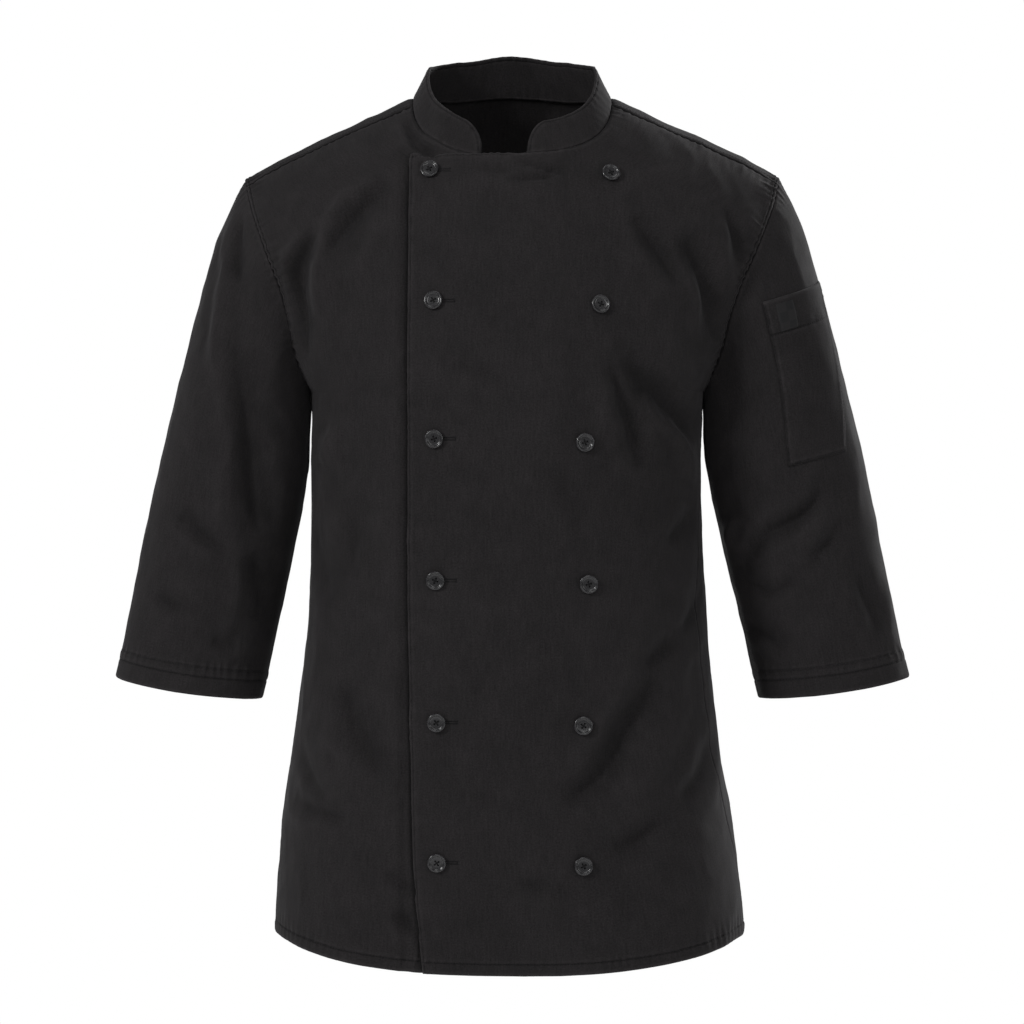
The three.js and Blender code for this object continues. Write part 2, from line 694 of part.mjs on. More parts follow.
// A patch as a wall that stands outside the given surface.
function patch(name, grid, thickness, look) {
  const outer = surface([grid]);
  const normals = sharedNormals([outer]);
  for (const point of outer.points) point.addScaledVector(normals.get(point), thickness);
  return piece(name, wall(outer, normals, thickness), look);
}

function buttonGeometry() {
  const bevel = 0.7;
  const dish = BUTTON_RADIUS * 0.62;
  const profile = [
    [0, 0], [BUTTON_RADIUS - bevel, 0], [BUTTON_RADIUS, BUTTON_THICK * 0.45],
    [BUTTON_RADIUS - bevel, BUTTON_THICK], [dish, BUTTON_THICK - BUTTON_DISH],
    [0, BUTTON_THICK - BUTTON_DISH],
  ];
  return new THREE.LatheGeometry(profile.map(([r, y]) => new THREE.Vector2(r, y)), BUTTON_SIDES);
}

// Seats a button on the panel, high enough to clear the cloth under all of it.
function seatButton(mesh, panel, x, z) {
  const cloth = new THREE.Mesh(panel, new THREE.MeshBasicMaterial());
  const caster = new THREE.Raycaster();
  const touch = (atX, atZ) => {
    caster.set(new THREE.Vector3(atX, -400, atZ), new THREE.Vector3(0, 1, 0));
    return caster.intersectObject(cloth)[0].point;
  };
  const reach = BUTTON_RADIUS * 0.8;
  const across = touch(x + reach, z).sub(touch(x - reach, z));
  const up = touch(x, z + reach).sub(touch(x, z - reach));
  const normal = across.cross(up).normalize();
  const seat = touch(x, z);
  let lift = 0;
  for (let i = 0; i < BUTTON_SIDES; i += 1) {
    const turn = 2 * Math.PI * i / BUTTON_SIDES;
    const rim = touch(x + BUTTON_RADIUS * Math.cos(turn), z + BUTTON_RADIUS * Math.sin(turn));
    lift = Math.max(lift, rim.sub(seat).dot(normal));
  }
  mesh.position.copy(seat).addScaledVector(normal, lift + BUTTON_LIFT);
  mesh.quaternion.setFromUnitVectors(new THREE.Vector3(0, 1, 0), normal);
}

function buttons(lap) {
  const made = [];
  for (const { z, right, left } of BUTTON_ROWS) {
    for (const x of [right, left]) {
      const drop = x > 0 ? BUTTON_STAGGER : 0;
      const number = String(made.length + 1).padStart(2, '0');
      const mesh = piece(`button_${number}`, buttonGeometry(), BLACK_RESIN);
      seatButton(mesh, lap, x, z - drop);
      made.push(mesh);
    }
  }
  return made;
}

function buildJacket() {
  const fronts = { 1: frontGrids(1), '-1': frontGrids(-1) };
  const back = backGrids();
  const frontLeft = surface([fronts[1].body, fronts[1].shoulder]);
  const frontRight = surface([mirrored(fronts[-1].body), mirrored(fronts[-1].shoulder)]);
  const backPanel = surface([back.body, ...back.shoulders]);
  const body = [frontLeft, frontRight, backPanel];
  crease(body, BODY_FOLDS);
  tuckUnderLap(frontRight.points, sharedNormals(body));

  const sleeveLeft = surface([mirrored(sleeveGrid(1))]);
  const sleeveRight = surface([sleeveGrid(-1)]);
  crease([sleeveLeft, sleeveRight], SLEEVE_FOLDS, new Set(body.flatMap((part) => part.points)));
  const collar = collarSurface(neckCurve(fronts, back));

  const normals = sharedNormals([...body, sleeveLeft, sleeveRight]);
  const lap = wall(frontLeft, normals, CLOTH);
  const sleeve = wall(sleeveLeft, normals, CLOTH);
  const pocket = patchGrid(sleeve, POCKET_ROWS, POCKET_COLUMNS, pocketPlace, POCKET_LIFT);
  const pocketMesh = patch('sleeve_pocket', pocket, POCKET_CLOTH, BLACK_COTTON);
  const label = patchGrid(pocketMesh.geometry, LABEL_CELLS, LABEL_CELLS, labelPlace, POCKET_LIFT);

  const jacket = new THREE.Group();
  jacket.add(
    piece('back', wall(backPanel, normals, CLOTH), BLACK_COTTON),
    piece('front_left', lap, BLACK_COTTON),
    piece('front_right', wall(frontRight, normals, CLOTH), BLACK_COTTON),
    piece('sleeve_left', sleeve, BLACK_COTTON),
    piece('sleeve_right', wall(sleeveRight, normals, CLOTH), BLACK_COTTON),
    piece('collar', wall(collar, sharedNormals([collar]), CLOTH), BLACK_COTTON),
    pocketMesh,
    patch('pocket_label', label, LABEL_CLOTH, LABEL_CLOTH_COLOUR),
    ...buttons(lap),
  );
  return jacket;
}

export default buildJacket();
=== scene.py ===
"""Looks of a double-breasted chef jacket in black cotton twill, filled out as if worn.

The cloth follows the same form as the CAD part, on finer grids and as thin shells, with its
folds, seams, hems and stitches. Sizes are in millimetres until a mesh is made.
"""

import itertools
import math

import bpy
import numpy as np
from mathutils import Matrix, Vector
from mathutils.bvhtree import BVHTree
from mathutils.kdtree import KDTree


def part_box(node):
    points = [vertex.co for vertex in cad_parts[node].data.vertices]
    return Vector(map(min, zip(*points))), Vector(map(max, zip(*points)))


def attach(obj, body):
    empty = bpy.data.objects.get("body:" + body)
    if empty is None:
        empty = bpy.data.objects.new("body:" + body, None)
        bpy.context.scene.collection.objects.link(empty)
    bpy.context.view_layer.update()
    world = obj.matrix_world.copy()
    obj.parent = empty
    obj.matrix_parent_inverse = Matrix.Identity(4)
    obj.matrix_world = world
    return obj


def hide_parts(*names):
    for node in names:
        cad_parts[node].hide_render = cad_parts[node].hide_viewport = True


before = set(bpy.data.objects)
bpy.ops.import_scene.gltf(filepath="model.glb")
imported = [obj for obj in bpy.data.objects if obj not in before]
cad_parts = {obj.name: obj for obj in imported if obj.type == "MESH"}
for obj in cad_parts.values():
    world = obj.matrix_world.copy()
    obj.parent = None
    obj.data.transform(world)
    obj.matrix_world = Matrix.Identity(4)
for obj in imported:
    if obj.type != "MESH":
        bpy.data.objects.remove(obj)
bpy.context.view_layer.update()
METRES = 0.001


def table(names, *rows):
    """Columns of a table by name, in order of the first one."""
    columns = np.array(sorted(rows), float).T
    return dict(zip(names.split(), columns))


# Cloth
CLOTH = 0.9
FOLDED_CLOTH = 1.9            # where an edge is turned in
COLLAR_CLOTH = 2.2
POCKET_CLOTH = 1.5
LABEL_CLOTH = 0.5
SEAM_GAP = 0.3
TUCK = 3.2                    # how deep the wearer's right front lies under the lap
DITCH = 1.6                   # how much deeper it lies just beside the lap's edge
DITCH_WIDTH = 2.6
VALLEY = 0.3
EDGE_ROUND = 0.15             # how far an edge is rounded, as a share of the wall
SEAM_MEET = 0.25              # how far the middle of an edge reaches towards its neighbour

# Form of the body, as in the CAD part
HEM_LEVEL = -760
UNDERARM = -260
SQUARENESS = 2.5
BODY = table(
    "z middle half front back",
    (-760, -2, 208, 128, 120),
    (-700, -2.7, 205, 129, 119),
    (-640, -4, 198.5, 130, 116),
    (-585, -5, 190, 130, 111),
    (-535, -5, 183.5, 130, 106),
    (-485, -4.5, 177.5, 131, 103),
    (-430, -4.4, 173.5, 133, 104),
    (-375, -4.9, 171.5, 135, 108),
    (-320, -5.2, 171.5, 136, 113),
    (-260, -4, 172, 136, 117),
)
YOKE = table(
    "share middle half armhole",
    (0, -4, 172, 172),
    (0.15, -3.2, 191, 185),
    (0.3, -2.4, 206, 192),
    (0.45, -1.6, 222, 201.5),
    (0.6, -0.8, 238, 213),
    (0.8, 0, 249, 226),
    (1, 0, 255, 236),
)
CHEST_ROUND = 1.8
SHOULDER_BLADE_ROUND = 2.4
CREST_TOP = 27.6
CREST_SLOPE = 0.485
CREST_ROUND = 45
SHOULDER_TIP_FROM = 180
SHOULDER_TIP_DROP = 0.00145
SHOULDER_SEAM = 0.96
NECK_HALF = 88
NECK_DROP = 56.4
NECK_SQUARENESS = 2.6
NAPE_DEPTH = 53
NAPE_SQUARENESS = 2.2
FRONT_CORNER = 45
NAPE_CORNER = 30
LAP = table("z reach", (-760, 76), (-680, 83), (-550, 86.5), (-400, 88.8), (-50, 88.4))
SIDE_SEAM_LEAN = 22
HEM_CENTRE = -759.2
HEM_RISE = 24.2
HEM_CURVE = 2.6

# Form of the sleeves
SLEEVE = table(
    "z outer inner_right inner_left depth",
    (-540, 357, 225, 220.5, 42),
    (-483, 344.7, 211.8, 207.5, 45),
    (-430, 334, 199.9, 195.5, 48),
    (-376, 323, 189.3, 183, 52),
    (-323, 311.5, 180.6, 172, 56),
    (-257, 296, 176, 168, 59),
    (-204, 283, 158, 154, 61),
    (-150, 268, 139, 137, 60),
    (-110, 254.5, 123, 122, 55),
    (-60, 229, 100, 100, 45),
)
SLEEVE_BLEND = 130
CUFF_OUTER = -511
CUFF_DROP = 19
CUFF_SAG = 3
CUFF_BAND = 34                # rows run level with the cuff this far up

# Form of the collar
COLLAR_BACK = 36
COLLAR_FRONT = 29
COLLAR_LEAN = 18
COLLAR_END_ROUND = 24
COLLAR_END_LEAST = 0.12
COLLAR_END_RIGHT = -19.5
COLLAR_END_LEFT = 23.5
COLLAR_RISE_FROM = -15
COLLAR_RISE_TO = 55
COLLAR_LIFT = -0.5

# Pocket and label: corners by height and by degrees round from the sleeve's outer line
POCKET = {
    "top": {"fore": (-183, 86), "rear": (-161, 12)},
    "bottom": {"fore": (-326, 92), "rear": (-311.5, 37)},
}
POCKET_LIFT = 0.5
POCKET_WIDTH = 82
POCKET_HEIGHT = 143
POCKET_EDGE = 7               # finer zone along its sides and foot
POCKET_HEM = (27, 33)         # finer zone along its hem, down from the top
POCKET_TOP = 4
LABEL_LIFT = 0.15
LABEL_WIDTH = 20
LABEL_HEIGHT = 27
LABEL_STEP = 1.2
LABEL = {"from": 0.12, "width": 0.27, "below": 0.025, "height": 0.185}

# Grid steps, and the lengths of cloth that they divide, with the finer zones by the edges
COARSE = 3.0
BACK_COARSE = 3.7
SLEEVE_COARSE = 3.4
FINE = 1.0
BODY_RUN, HEM_ZONE = 500, 14
CHEST_RUN, NECK_ZONE = 205, 8
SHOULDER_RUN, SHOULDER_ZONE = 66, 12
HALF_RUN, SIDE_ZONE = 250, 14
UNDER_LAP_ZONE = (27, 55)     # across the wearer's right front, where the lap's edge lies on it
LAP_RUN, LAP_ZONE = 133, 13
BACK_RUN = 250
SLEEVE_RUN, ARMHOLE_ZONE = 400, 10
NAPE_STEPS = 16
CREST_STEPS = 14
NAPE_STEP = 4
CUFF_STEP = 1.5

# Seams. `band` is the width of the turned-in cloth, which stands `rise` proud; `rows` are the
# lines of stitching by distance from the edge; `gather` is the depth of the puckers there and
# `reach` how far they run into the cloth; `joined` says that the edge meets another piece.
SEAMS = {
    name: dict(zip(("band", "rise", "rows", "gather", "reach", "joined"), values))
    for name, *values in (
        ("armhole", 4.6, 0.6, (3.2,), 1.15, 11, 1),
        ("under", 0, 0, (), 0.55, 12, 1),
        ("shoulder", 5.5, 0.7, (4.4,), 0.3, 9, 1),
        ("plain", 0, 0, (), 0.22, 12, 1),
        ("hem", 10, 0.5, (10,), 0.55, 9, 0),
        ("cuff", 25, 0.6, (25, 17), 0.6, 7, 0),
        ("edge", 3.2, 0.3, (1.9,), 0.85, 12, 0),
        ("collar", 3.4, 0.3, (2.4,), 0.22, 9, 0),
        ("foot", 0, 0, (), 0.3, 9, 1),
        ("patch", 5, 0.3, (1.7,), 0.35, 6, 1),
        ("pocket_hem", 30, 0.3, (30,), 0.2, 6, 0),
        ("label", 0, 0, (1.0,), 0.08, 3, 1),
    )
}
SEAM_ROLL = 0.7               # depth to which an edge rolls in, and the width of that
SEAM_ROLL_WIDTH = 1.3
GROOVE = 0.6                  # depth and half-width of a line of stitching
GROOVE_WIDTH = 0.9
GATHER_WAVE = 8.0

# Folds: troughs along smooth lines, seen from one side. Each row gives that side, points of the
# line across and up, its half-width, and its depth, where a negative one is a ridge. A view
# names the axis across, the axis that it looks along, and the sign of a normal that faces it.
VIEWS = {
    "front": (0, 1, -1),
    "back": (0, 1, 1),
    "left": (1, 0, 1),
    "right": (1, 0, -1),
}
BODY_FOLDS = (
    ("front", ((-105, -84), (-137, -112), (-166, -154)), 11, 3.6),
    ("front", ((-171, -126), (-186, -154), (-184, -188), (-178, -230)), 8, 4.6),
    ("front", ((-158, -124), (-166, -158), (-163, -196)), 9, -2.6),
    ("front", ((-92, -24), (-82, -47), (-64, -61)), 6, 3.2),
    ("front", ((8, -66), (28, -71), (50, -74)), 4, 2.1),
    ("front", ((-4, -80), (16, -80), (38, -77)), 4, 1.8),
    ("front", ((-28, -70), (-12, -73), (2, -72)), 3.4, 1.4),
    ("front", ((105, -112), (126, -140), (146, -170)), 12, 3.2),
    ("front", ((150, -128), (166, -168), (175, -216)), 10, 3.8),
    ("front", ((186, -104), (194, -126), (196, -150)), 8, 2.4),
    ("front", ((96, -234), (126, -266), (158, -303)), 12, 4.2),
    ("front", ((132, -286), (147, -310), (158, -340)), 11, -2.6),
    ("front", ((86, -240), (98, -282), (110, -328)), 11, 3.2),
    ("front", ((159, -362), (148, -378), (134, -390)), 10, 2.4),
    ("front", ((137, -470), (127, -484), (114, -497)), 11, 2.4),
    ("front", ((122, -505), (100, -543), (76, -586), (48, -613)), 15, 3.8),
    ("front", ((4, -679), (26, -684), (52, -688)), 9, 1.6),
    ("front", ((126, -628), (106, -644), (88, -652)), 12, 2.0),
    ("front", ((-150, -291), (-158, -308), (-164, -324)), 9, -2.2),
    ("front", ((-141, -352), (-137, -388), (-140, -426)), 15, 2.8),
    ("front", ((-146, -514), (-134, -551), (-110, -587)), 15, 3.4),
    ("front", ((-190, -614), (-166, -623), (-140, -629)), 10, 2.2),
    ("front", ((-107, -671), (-95, -681), (-81, -690)), 9, 1.8),
    ("front", ((-100, -706), (-90, -715), (-79, -725)), 8, 1.7),
    ("front", ((-188, -560), (-176, -592), (-158, -612)), 9, 1.6),
    ("front", ((-176, -380), (-164, -410), (-158, -446)), 10, 1.8),
    ("front", ((-60, -232), (-30, -246), (4, -248)), 12, 0.9),
    ("front", ((30, -330), (52, -352), (62, -384)), 12, 1.0),
    ("front", ((-52, -480), (-30, -506), (-22, -540)), 13, 0.9),
    ("front", ((168, -420), (160, -446), (146, -468)), 9, 1.7),
    ("front", ((172, -560), (162, -590), (144, -612)), 10, 1.8),
    ("back", ((168, -150), (146, -206), (112, -262)), 15, 4),
    ("back", ((-166, -148), (-148, -198), (-118, -250)), 15, 4),
    ("back", ((196, -196), (176, -228), (150, -246)), 10, 3),
    ("back", ((-194, -190), (-172, -226), (-148, -242)), 10, 3),
    ("back", ((120, -420), (80, -452), (36, -470)), 18, 3.6),
    ("back", ((-132, -408), (-88, -436), (-40, -446)), 17, 3.6),
    ("back", ((30, -398), (-14, -408), (-62, -400)), 13, 2.4),
    ("back", ((-96, -560), (-88, -628), (-70, -700)), 20, 4),
    ("back", ((84, -540), (98, -612), (104, -690)), 20, 3.4),
    ("back", ((4, -600), (-6, -662), (6, -724)), 17, 2.6),
    ("left", ((20, -330), (52, -362), (84, -376)), 12, 1.8),
    ("left", ((18, -474), (50, -496), (86, -502)), 13, 1.8),
    ("left", ((50, -600), (44, -660), (52, -716)), 14, 1.7),
    ("right", ((18, -322), (50, -356), (82, -374)), 12, 1.8),
    ("right", ((16, -466), (48, -490), (84, -498)), 13, 1.8),
    ("right", ((54, -596), (46, -656), (54, -714)), 14, 1.7),
)
SLEEVE_FOLDS = (
    ("front", ((-238, -102), (-256, -196), (-259, -236)), 8, -2.2),
    ("front", ((-235, -103), (-240, -132), (-238, -164)), 8, 3),
    ("front", ((-240, -222), (-230, -281), (-226, -346), (-219, -384)), 15, 3.6),
    ("front", ((-226, -400), (-220, -430), (-222, -462)), 13, 2.8),
    ("front", ((-290, -368), (-270, -386), (-247, -401)), 9, 2.6),
    ("front", ((-312, -439), (-300, -446), (-287, -453)), 8, 1.9),
    ("front", ((-262, -478), (-250, -483), (-240, -484)), 8, 1.5),
    ("front", ((274, -345), (251, -369), (216, -390), (205, -416)), 10, 2.3),
    ("front", ((281, -352), (258, -379), (231, -404)), 9, -1.7),
    ("front", ((287, -369), (276, -390), (262, -410)), 8, 1.4),
    ("front", ((201, -423), (226, -435), (249, -424)), 8, 1.5),
    ("front", ((201, -466), (221, -474), (240, -491)), 8, 1.6),
    ("front", ((195, -368), (191, -384), (188, -402)), 7, -1.8),
    ("front", ((300, -420), (312, -446), (322, -470)), 10, 1.6),
    ("back", ((-286, -330), (-258, -356), (-232, -372)), 14, 4),
    ("back", ((290, -318), (260, -350), (228, -372)), 14, 4),
    ("back", ((-300, -380), (-270, -404), (-236, -410)), 11, 2.8),
    ("back", ((306, -372), (276, -396), (242, -404)), 11, 2.8),
    ("back", ((-226, -226), (-220, -270), (-206, -306)), 12, 3),
    ("back", ((222, -220), (216, -266), (202, -300)), 12, 3),
    ("left", ((12, -352), (24, -372), (34, -368)), 10, 1.8),
    ("left", ((36, -420), (24, -440), (10, -446)), 10, 1.6),
    ("left", ((30, -96), (26, -150), (34, -214)), 11, 1.8),
    ("right", ((14, -344), (24, -366), (36, -362)), 10, 1.8),
    ("right", ((34, -414), (22, -432), (10, -440)), 10, 1.6),
    ("right", ((30, -92), (24, -146), (32, -206)), 11, 1.8),
)
FOLD_STEPS = 16
FOLD_STRENGTH = 2.35
FOLD_LEAN = 0.3               # how much steeper one side of a fold is than the other
FOLD_CREASE = 0.3             # share of a fold's depth in the sharper crease at its middle
FOLD_BANK = 0.3               # share of a fold's depth that stands up on each side of it
FOLD_WANDER = 3.2
FOLD_PAINTED_LIGHT_AND_SHADE = 0.034                # painted light and shade of the folds: how much paler the cloth is for each millimetre it stands out, and blacker for each millimetre it is sunk
SUNK_MOST = -5
RAISED_MOST = 2.5

# Drape: height of each kind of swell, and the size of its cells across, deep and up
SWELL, SWELL_CELL = 1.6, (80, 80, 120)
HEM_WAVE, HEM_WAVE_CELL = 2.4, (62, 62, 420)
CREASE, CREASE_CELL = 0.75, (34, 34, 50)
RIPPLE, RIPPLE_CELL = 0.3, (12, 12, 18)
HEM_WAVE_FROM = 430           # how far down the waves start, and are at their full height
HEM_WAVE_FULL = 740
SLEEVE_FROM = 230             # the sleeves lie further out than this and have no hem waves

# Painted shade and wear: how much paler or blacker the cloth is beside edges, seams and stitching,
# with the distance of that from the edge where it has one, and its half-width. The blacker marks
# are painted shade in the gaps of joined seams, in the stitch grooves and beside the lap's edge;
# the paler edges are partly wear and partly a painted highlight; the paler band beside each row of
# stitching is wear.
EDGE_WEAR_AND_HIGHLIGHT, EDGE_WEAR_AND_HIGHLIGHT_AT, EDGE_WEAR_AND_HIGHLIGHT_WIDTH = 0.34, 1.4, 1.5
SEAM_PAINTED_SHADE, SEAM_PAINTED_SHADE_WIDTH = 0.55, 0.8
ROW_PAINTED_SHADE, ROW_PAINTED_SHADE_WIDTH = 0.4, 0.7
WORN_ROW, WORN_ROW_AT, WORN_ROW_WIDTH = 0.16, 2, 1.5
DITCH_PAINTED_SHADOW = 0.5
PATCH_CELL = 5
ARMHOLE_FADE = 22             # folds of one side of the armhole die away over this distance

# Buttons, turned from a profile of (radius, height) from the back to the dished front
BUTTON_COUNT = 12
BUTTON_PROFILE = (
    (0.3, 0), (3, 0), (5.4, 0.1), (7, 0.5), (7.8, 1.2), (8, 1.9), (7.8, 2.6), (7.3, 3),
    (6.7, 3.05), (6.1, 2.75), (5.6, 2.2), (4.8, 1.9), (3, 1.8), (0.3, 1.8),
)
BUTTON_FLOOR = 1.8
LATHE_ANGLES = np.linspace(0, 2 * math.pi, 48, endpoint=False)
BUTTON_LIFT = 1.1
BUTTON_TILT = 2.2
HOLE_SPREAD = 1.45
HOLE_RADIUS = 0.8
DIMPLE = 0.9
DIMPLE_WIDTH = 9

# Buttonholes, from the button's centre towards the wearer's left
BUTTONHOLE_FROM = -2
BUTTONHOLE_TO = 17
BUTTONHOLE_GAP = 1.0
SATIN_PITCH = 0.55
SATIN_LENGTH = 1.5
SATIN_RADIUS = 0.2

# Thread
STITCH_PITCH = 2.9
STITCH_LENGTH = 2.3
THREAD_RADIUS = 0.24
SEAM_SAMPLE = 2.0

# Colours of the cloth, linear
CLOTH_DARK = (0.0068, 0.0062, 0.0065)
CLOTH_LIGHT = (0.0285, 0.0258, 0.0270)

# Stage
CAMERA_AT = (0, -3.0, -0.365)
CAMERA_WIDTH = 0.9073         # what the frame spans at the jacket's middle, in metres
FLOOR_HEIGHT = -1.2
FLOOR_RADIUS = 2.2
WORLD_LIGHT = 0.23            # light from the white world; the camera sees it at full white
LIGHTS = (
    ("key", (-2.5, -2.0, 1.1), (0.7, 0.7), 58),
    ("front", (0.3, -3.4, 0.3), (1.0, 1.0), 5),
    ("neck", (0.0, -1.4, 0.4), (0.5, 0.4), 2.6),
    ("fill", (2.4, -2.3, 0.1), (1.4, 1.4), 13),
    ("top", (0.1, -0.6, 2.3), (1.4, 0.9), 8),
    ("right_side", (3.0, 1.3, 0.5), (1.0, 1.0), 14),
    ("left_side", (-3.0, 1.3, 0.3), (1.0, 1.0), 10),
    ("back_key", (2.5, 2.3, 1.3), (0.7, 0.7), 95),
    ("back_fill", (-1.2, 3.2, 0.2), (1.2, 1.2), 20),
)


# ---------------------------------------------------------------- small maths

def lerp(a, b, share):
    return a + (b - a) * share


def smoothstep(value, low, high):
    share = np.clip((value - low) / (high - low), 0, 1)
    return share * share * (3 - 2 * share)


def unit(vectors):
    return vectors / np.maximum(np.linalg.norm(vectors, axis=-1, keepdims=True), 1e-12)


def rounded(share, power):
    """Rounded fall from 1 to 0 as `share` goes from 0 to 1."""
    return (1 - np.clip(np.abs(share), 0, 1) ** power) ** (1 / power)


def along(rows, key, column, at):
    """A column of a table between its rows, by a smooth curve through them."""
    keys, values = rows[key], rows[column]
    last = len(keys) - 1
    before = np.maximum(np.arange(last + 1) - 1, 0)
    after = np.minimum(np.arange(last + 1) + 1, last)
    slopes = (values[after] - values[before]) / (keys[after] - keys[before])
    low = np.clip(np.searchsorted(keys, at, side="right") - 1, 0, last - 1)
    step = keys[low + 1] - keys[low]
    share = np.clip((at - keys[low]) / step, 0, 1)
    rise = values[low + 1] - values[low]
    bend = (1 - share) * (slopes[low] * step - rise) - share * (slopes[low + 1] * step - rise)
    return values[low] + rise * share + share * (1 - share) * bend


GRADIENTS = unit(np.random.default_rng(11).normal(size=(256, 3)))


def noise(places, seed=0):
    """Smooth noise, from about -1 to 1, at places counted in its own cells."""
    cell = np.floor(places).astype(np.int64)
    part = places - cell
    fade = part ** 3 * (part * (part * 6 - 15) + 10)
    total = np.zeros(len(places))
    for corner in itertools.product((0, 1), repeat=3):
        lattice = cell + corner
        mixed = (lattice * (374761393, 668265263, 1442695041)).sum(1) + seed * 974711
        mixed = (mixed ^ (mixed >> 13)) * 1274126177
        gradient = GRADIENTS[(mixed ^ (mixed >> 16)) & 255]
        weight = np.where(corner, fade, 1 - fade).prod(1)
        total += weight * ((part - corner) * gradient).sum(1)
    return total * 1.7


def marks(length, coarse, fine_zones=(), fine=FINE):
    """Shares from 0 to 1 of a length, closer together inside the zones given in mm."""
    stops = sorted({0, length, *itertools.chain(*fine_zones)})
    places = [0]
    for low, high in zip(stops, stops[1:]):
        inside = any(a <= low and high <= b for a, b in fine_zones)
        count = max(1, math.ceil((high - low) / (fine if inside else coarse)))
        places.extend(low + (high - low) * (i + 1) / count for i in range(count))
    return np.array(places) / length


def smooth_line(points, steps):
    """A Catmull-Rom curve through a few points."""
    points = np.array(points, float)
    padded = np.vstack([2 * points[0] - points[1], points, 2 * points[-1] - points[-2]])
    at = np.linspace(0, len(points) - 1, steps + 1)
    low = np.minimum(at.astype(int), len(points) - 2)
    t = (at - low)[:, None]
    a, b, c, d = (padded[low + i] for i in range(4))
    bend = t * (c - a + t * (2 * a - 5 * b + 4 * c - d + t * (3 * (b - c) + d - a)))
    return b + bend / 2


def lengths(line):
    """Distance along a polyline at each of its points."""
    steps = np.linalg.norm(np.diff(line, axis=0), axis=1)
    return np.concatenate([[0], np.cumsum(steps)])


def resampled(line, at):
    """Points of a polyline at distances along it."""
    run = lengths(line)
    return np.stack([np.interp(at, run, line[:, i]) for i in range(line.shape[1])], axis=1)


# ---------------------------------------------------------------- form of the body

def crest(x):
    slope = CREST_SLOPE * (np.hypot(x, CREST_ROUND) - CREST_ROUND)
    tip = np.maximum(0, np.abs(x) - SHOULDER_TIP_FROM)
    return CREST_TOP - slope - SHOULDER_TIP_DROP * tip * tip


def hem_height(x):
    return HEM_CENTRE + HEM_RISE * (np.abs(x) / BODY["half"][0]) ** HEM_CURVE


def height_below(level, x):
    """Height of a level between the hem at -1 and the underarm at 0."""
    return lerp(UNDERARM, hem_height(x), np.clip(-level, 0, 1))


def section(level, z):
    """Middle and half-width of the body. Above 0, a level is a share of the way to the crest."""
    below = level < 0
    return tuple(
        np.where(below, along(BODY, "z", name, z), along(YOKE, "share", name, level))
        for name in ("middle", "half")
    )


def turned_to(x, middle, half):
    """Angle round a section at which it passes this x."""
    across = np.clip((x - middle) / half, -1, 1)
    return np.sign(across) * np.arcsin(np.abs(across) ** (SQUARENESS / 2))


def angle_at(level, x):
    """Angle round from the centre front or back to this x."""
    return turned_to(x, *section(level, height_below(level, 0 * x)))


def placed(level, x, z, angle, face):
    """A point of the body's form at this x and angle, on the front (-1) or the back (1)."""
    away = np.maximum(np.cos(angle), 0) ** (2 / SQUARENESS)
    front = face < 0
    low = np.where(front, along(BODY, "z", "front", z), along(BODY, "z", "back", z))
    top = np.where(front, BODY["front"][-1], BODY["back"][-1])
    shape = np.where(
        front, rounded(level, CHEST_ROUND), rounded(level, SHOULDER_BLADE_ROUND)
    )
    below = level < 0
    y = face * away * np.where(below, low, top * shape)
    height = np.where(below, z, lerp(UNDERARM, crest(x), level))
    return np.stack([x, y, height], axis=-1)


def body_point(level, angle, face):
    level, angle, face = np.broadcast_arrays(level, angle, face)
    across = np.sign(angle) * np.abs(np.sin(angle)) ** (2 / SQUARENESS)
    middle, half = section(level, height_below(level, 0 * angle))
    z = height_below(level, middle + half * across)
    middle, half = section(level, z)
    return placed(level, middle + half * across, z, angle, face)


def point_at(level, x, face):
    level, x, face = np.broadcast_arrays(level, x, face)
    z = height_below(level, x)
    return placed(level, x, z, turned_to(x, *section(level, z)), face)


def neck_height(x):
    return -NECK_DROP * rounded(x / NECK_HALF, NECK_SQUARENESS)


def share_at_height(x, z):
    return (z - UNDERARM) / (crest(x) - UNDERARM)


def front_neck_share(x):
    return share_at_height(x, neck_height(x))


def nape_share(x):
    y = NAPE_DEPTH * rounded(x / NECK_HALF, NAPE_SQUARENESS)
    return rounded(y / BODY["back"][-1], SHOULDER_BLADE_ROUND)


FRONT_CORNER_SHARE = float(front_neck_share(FRONT_CORNER))
NAPE_CORNER_SHARE = float(nape_share(NAPE_CORNER))


def neck_crossing(share, corner, share_of):
    """Where a neckline crosses a share, between its corner and the neck point."""
    inside, outside = np.full_like(share, corner), np.full_like(share, NECK_HALF)
    for _ in range(30):
        x = (inside + outside) / 2
        below = share_of(x) < share
        inside, outside = np.where(below, x, inside), np.where(below, outside, x)
    return inside


def outer_angle(level, side):
    """Angle of the armhole above the underarm and of the side seam below it."""
    reach = along(YOKE, "share", "armhole", level) / along(YOKE, "share", "half", level)
    armhole = np.arcsin(np.clip(reach, 0, 1) ** (SQUARENESS / 2))
    down = np.clip(
        (height_below(level, 0 * level) - UNDERARM) / (HEM_LEVEL - UNDERARM), 0, 1
    )
    lean = math.radians(SIDE_SEAM_LEAN) * np.sin(math.pi * down) if side > 0 else 0
    return np.where(level > 0, armhole, math.pi / 2 - lean)


# ---------------------------------------------------------------- grids of the panels

def last_part(run, width):
    return (run - width, run)


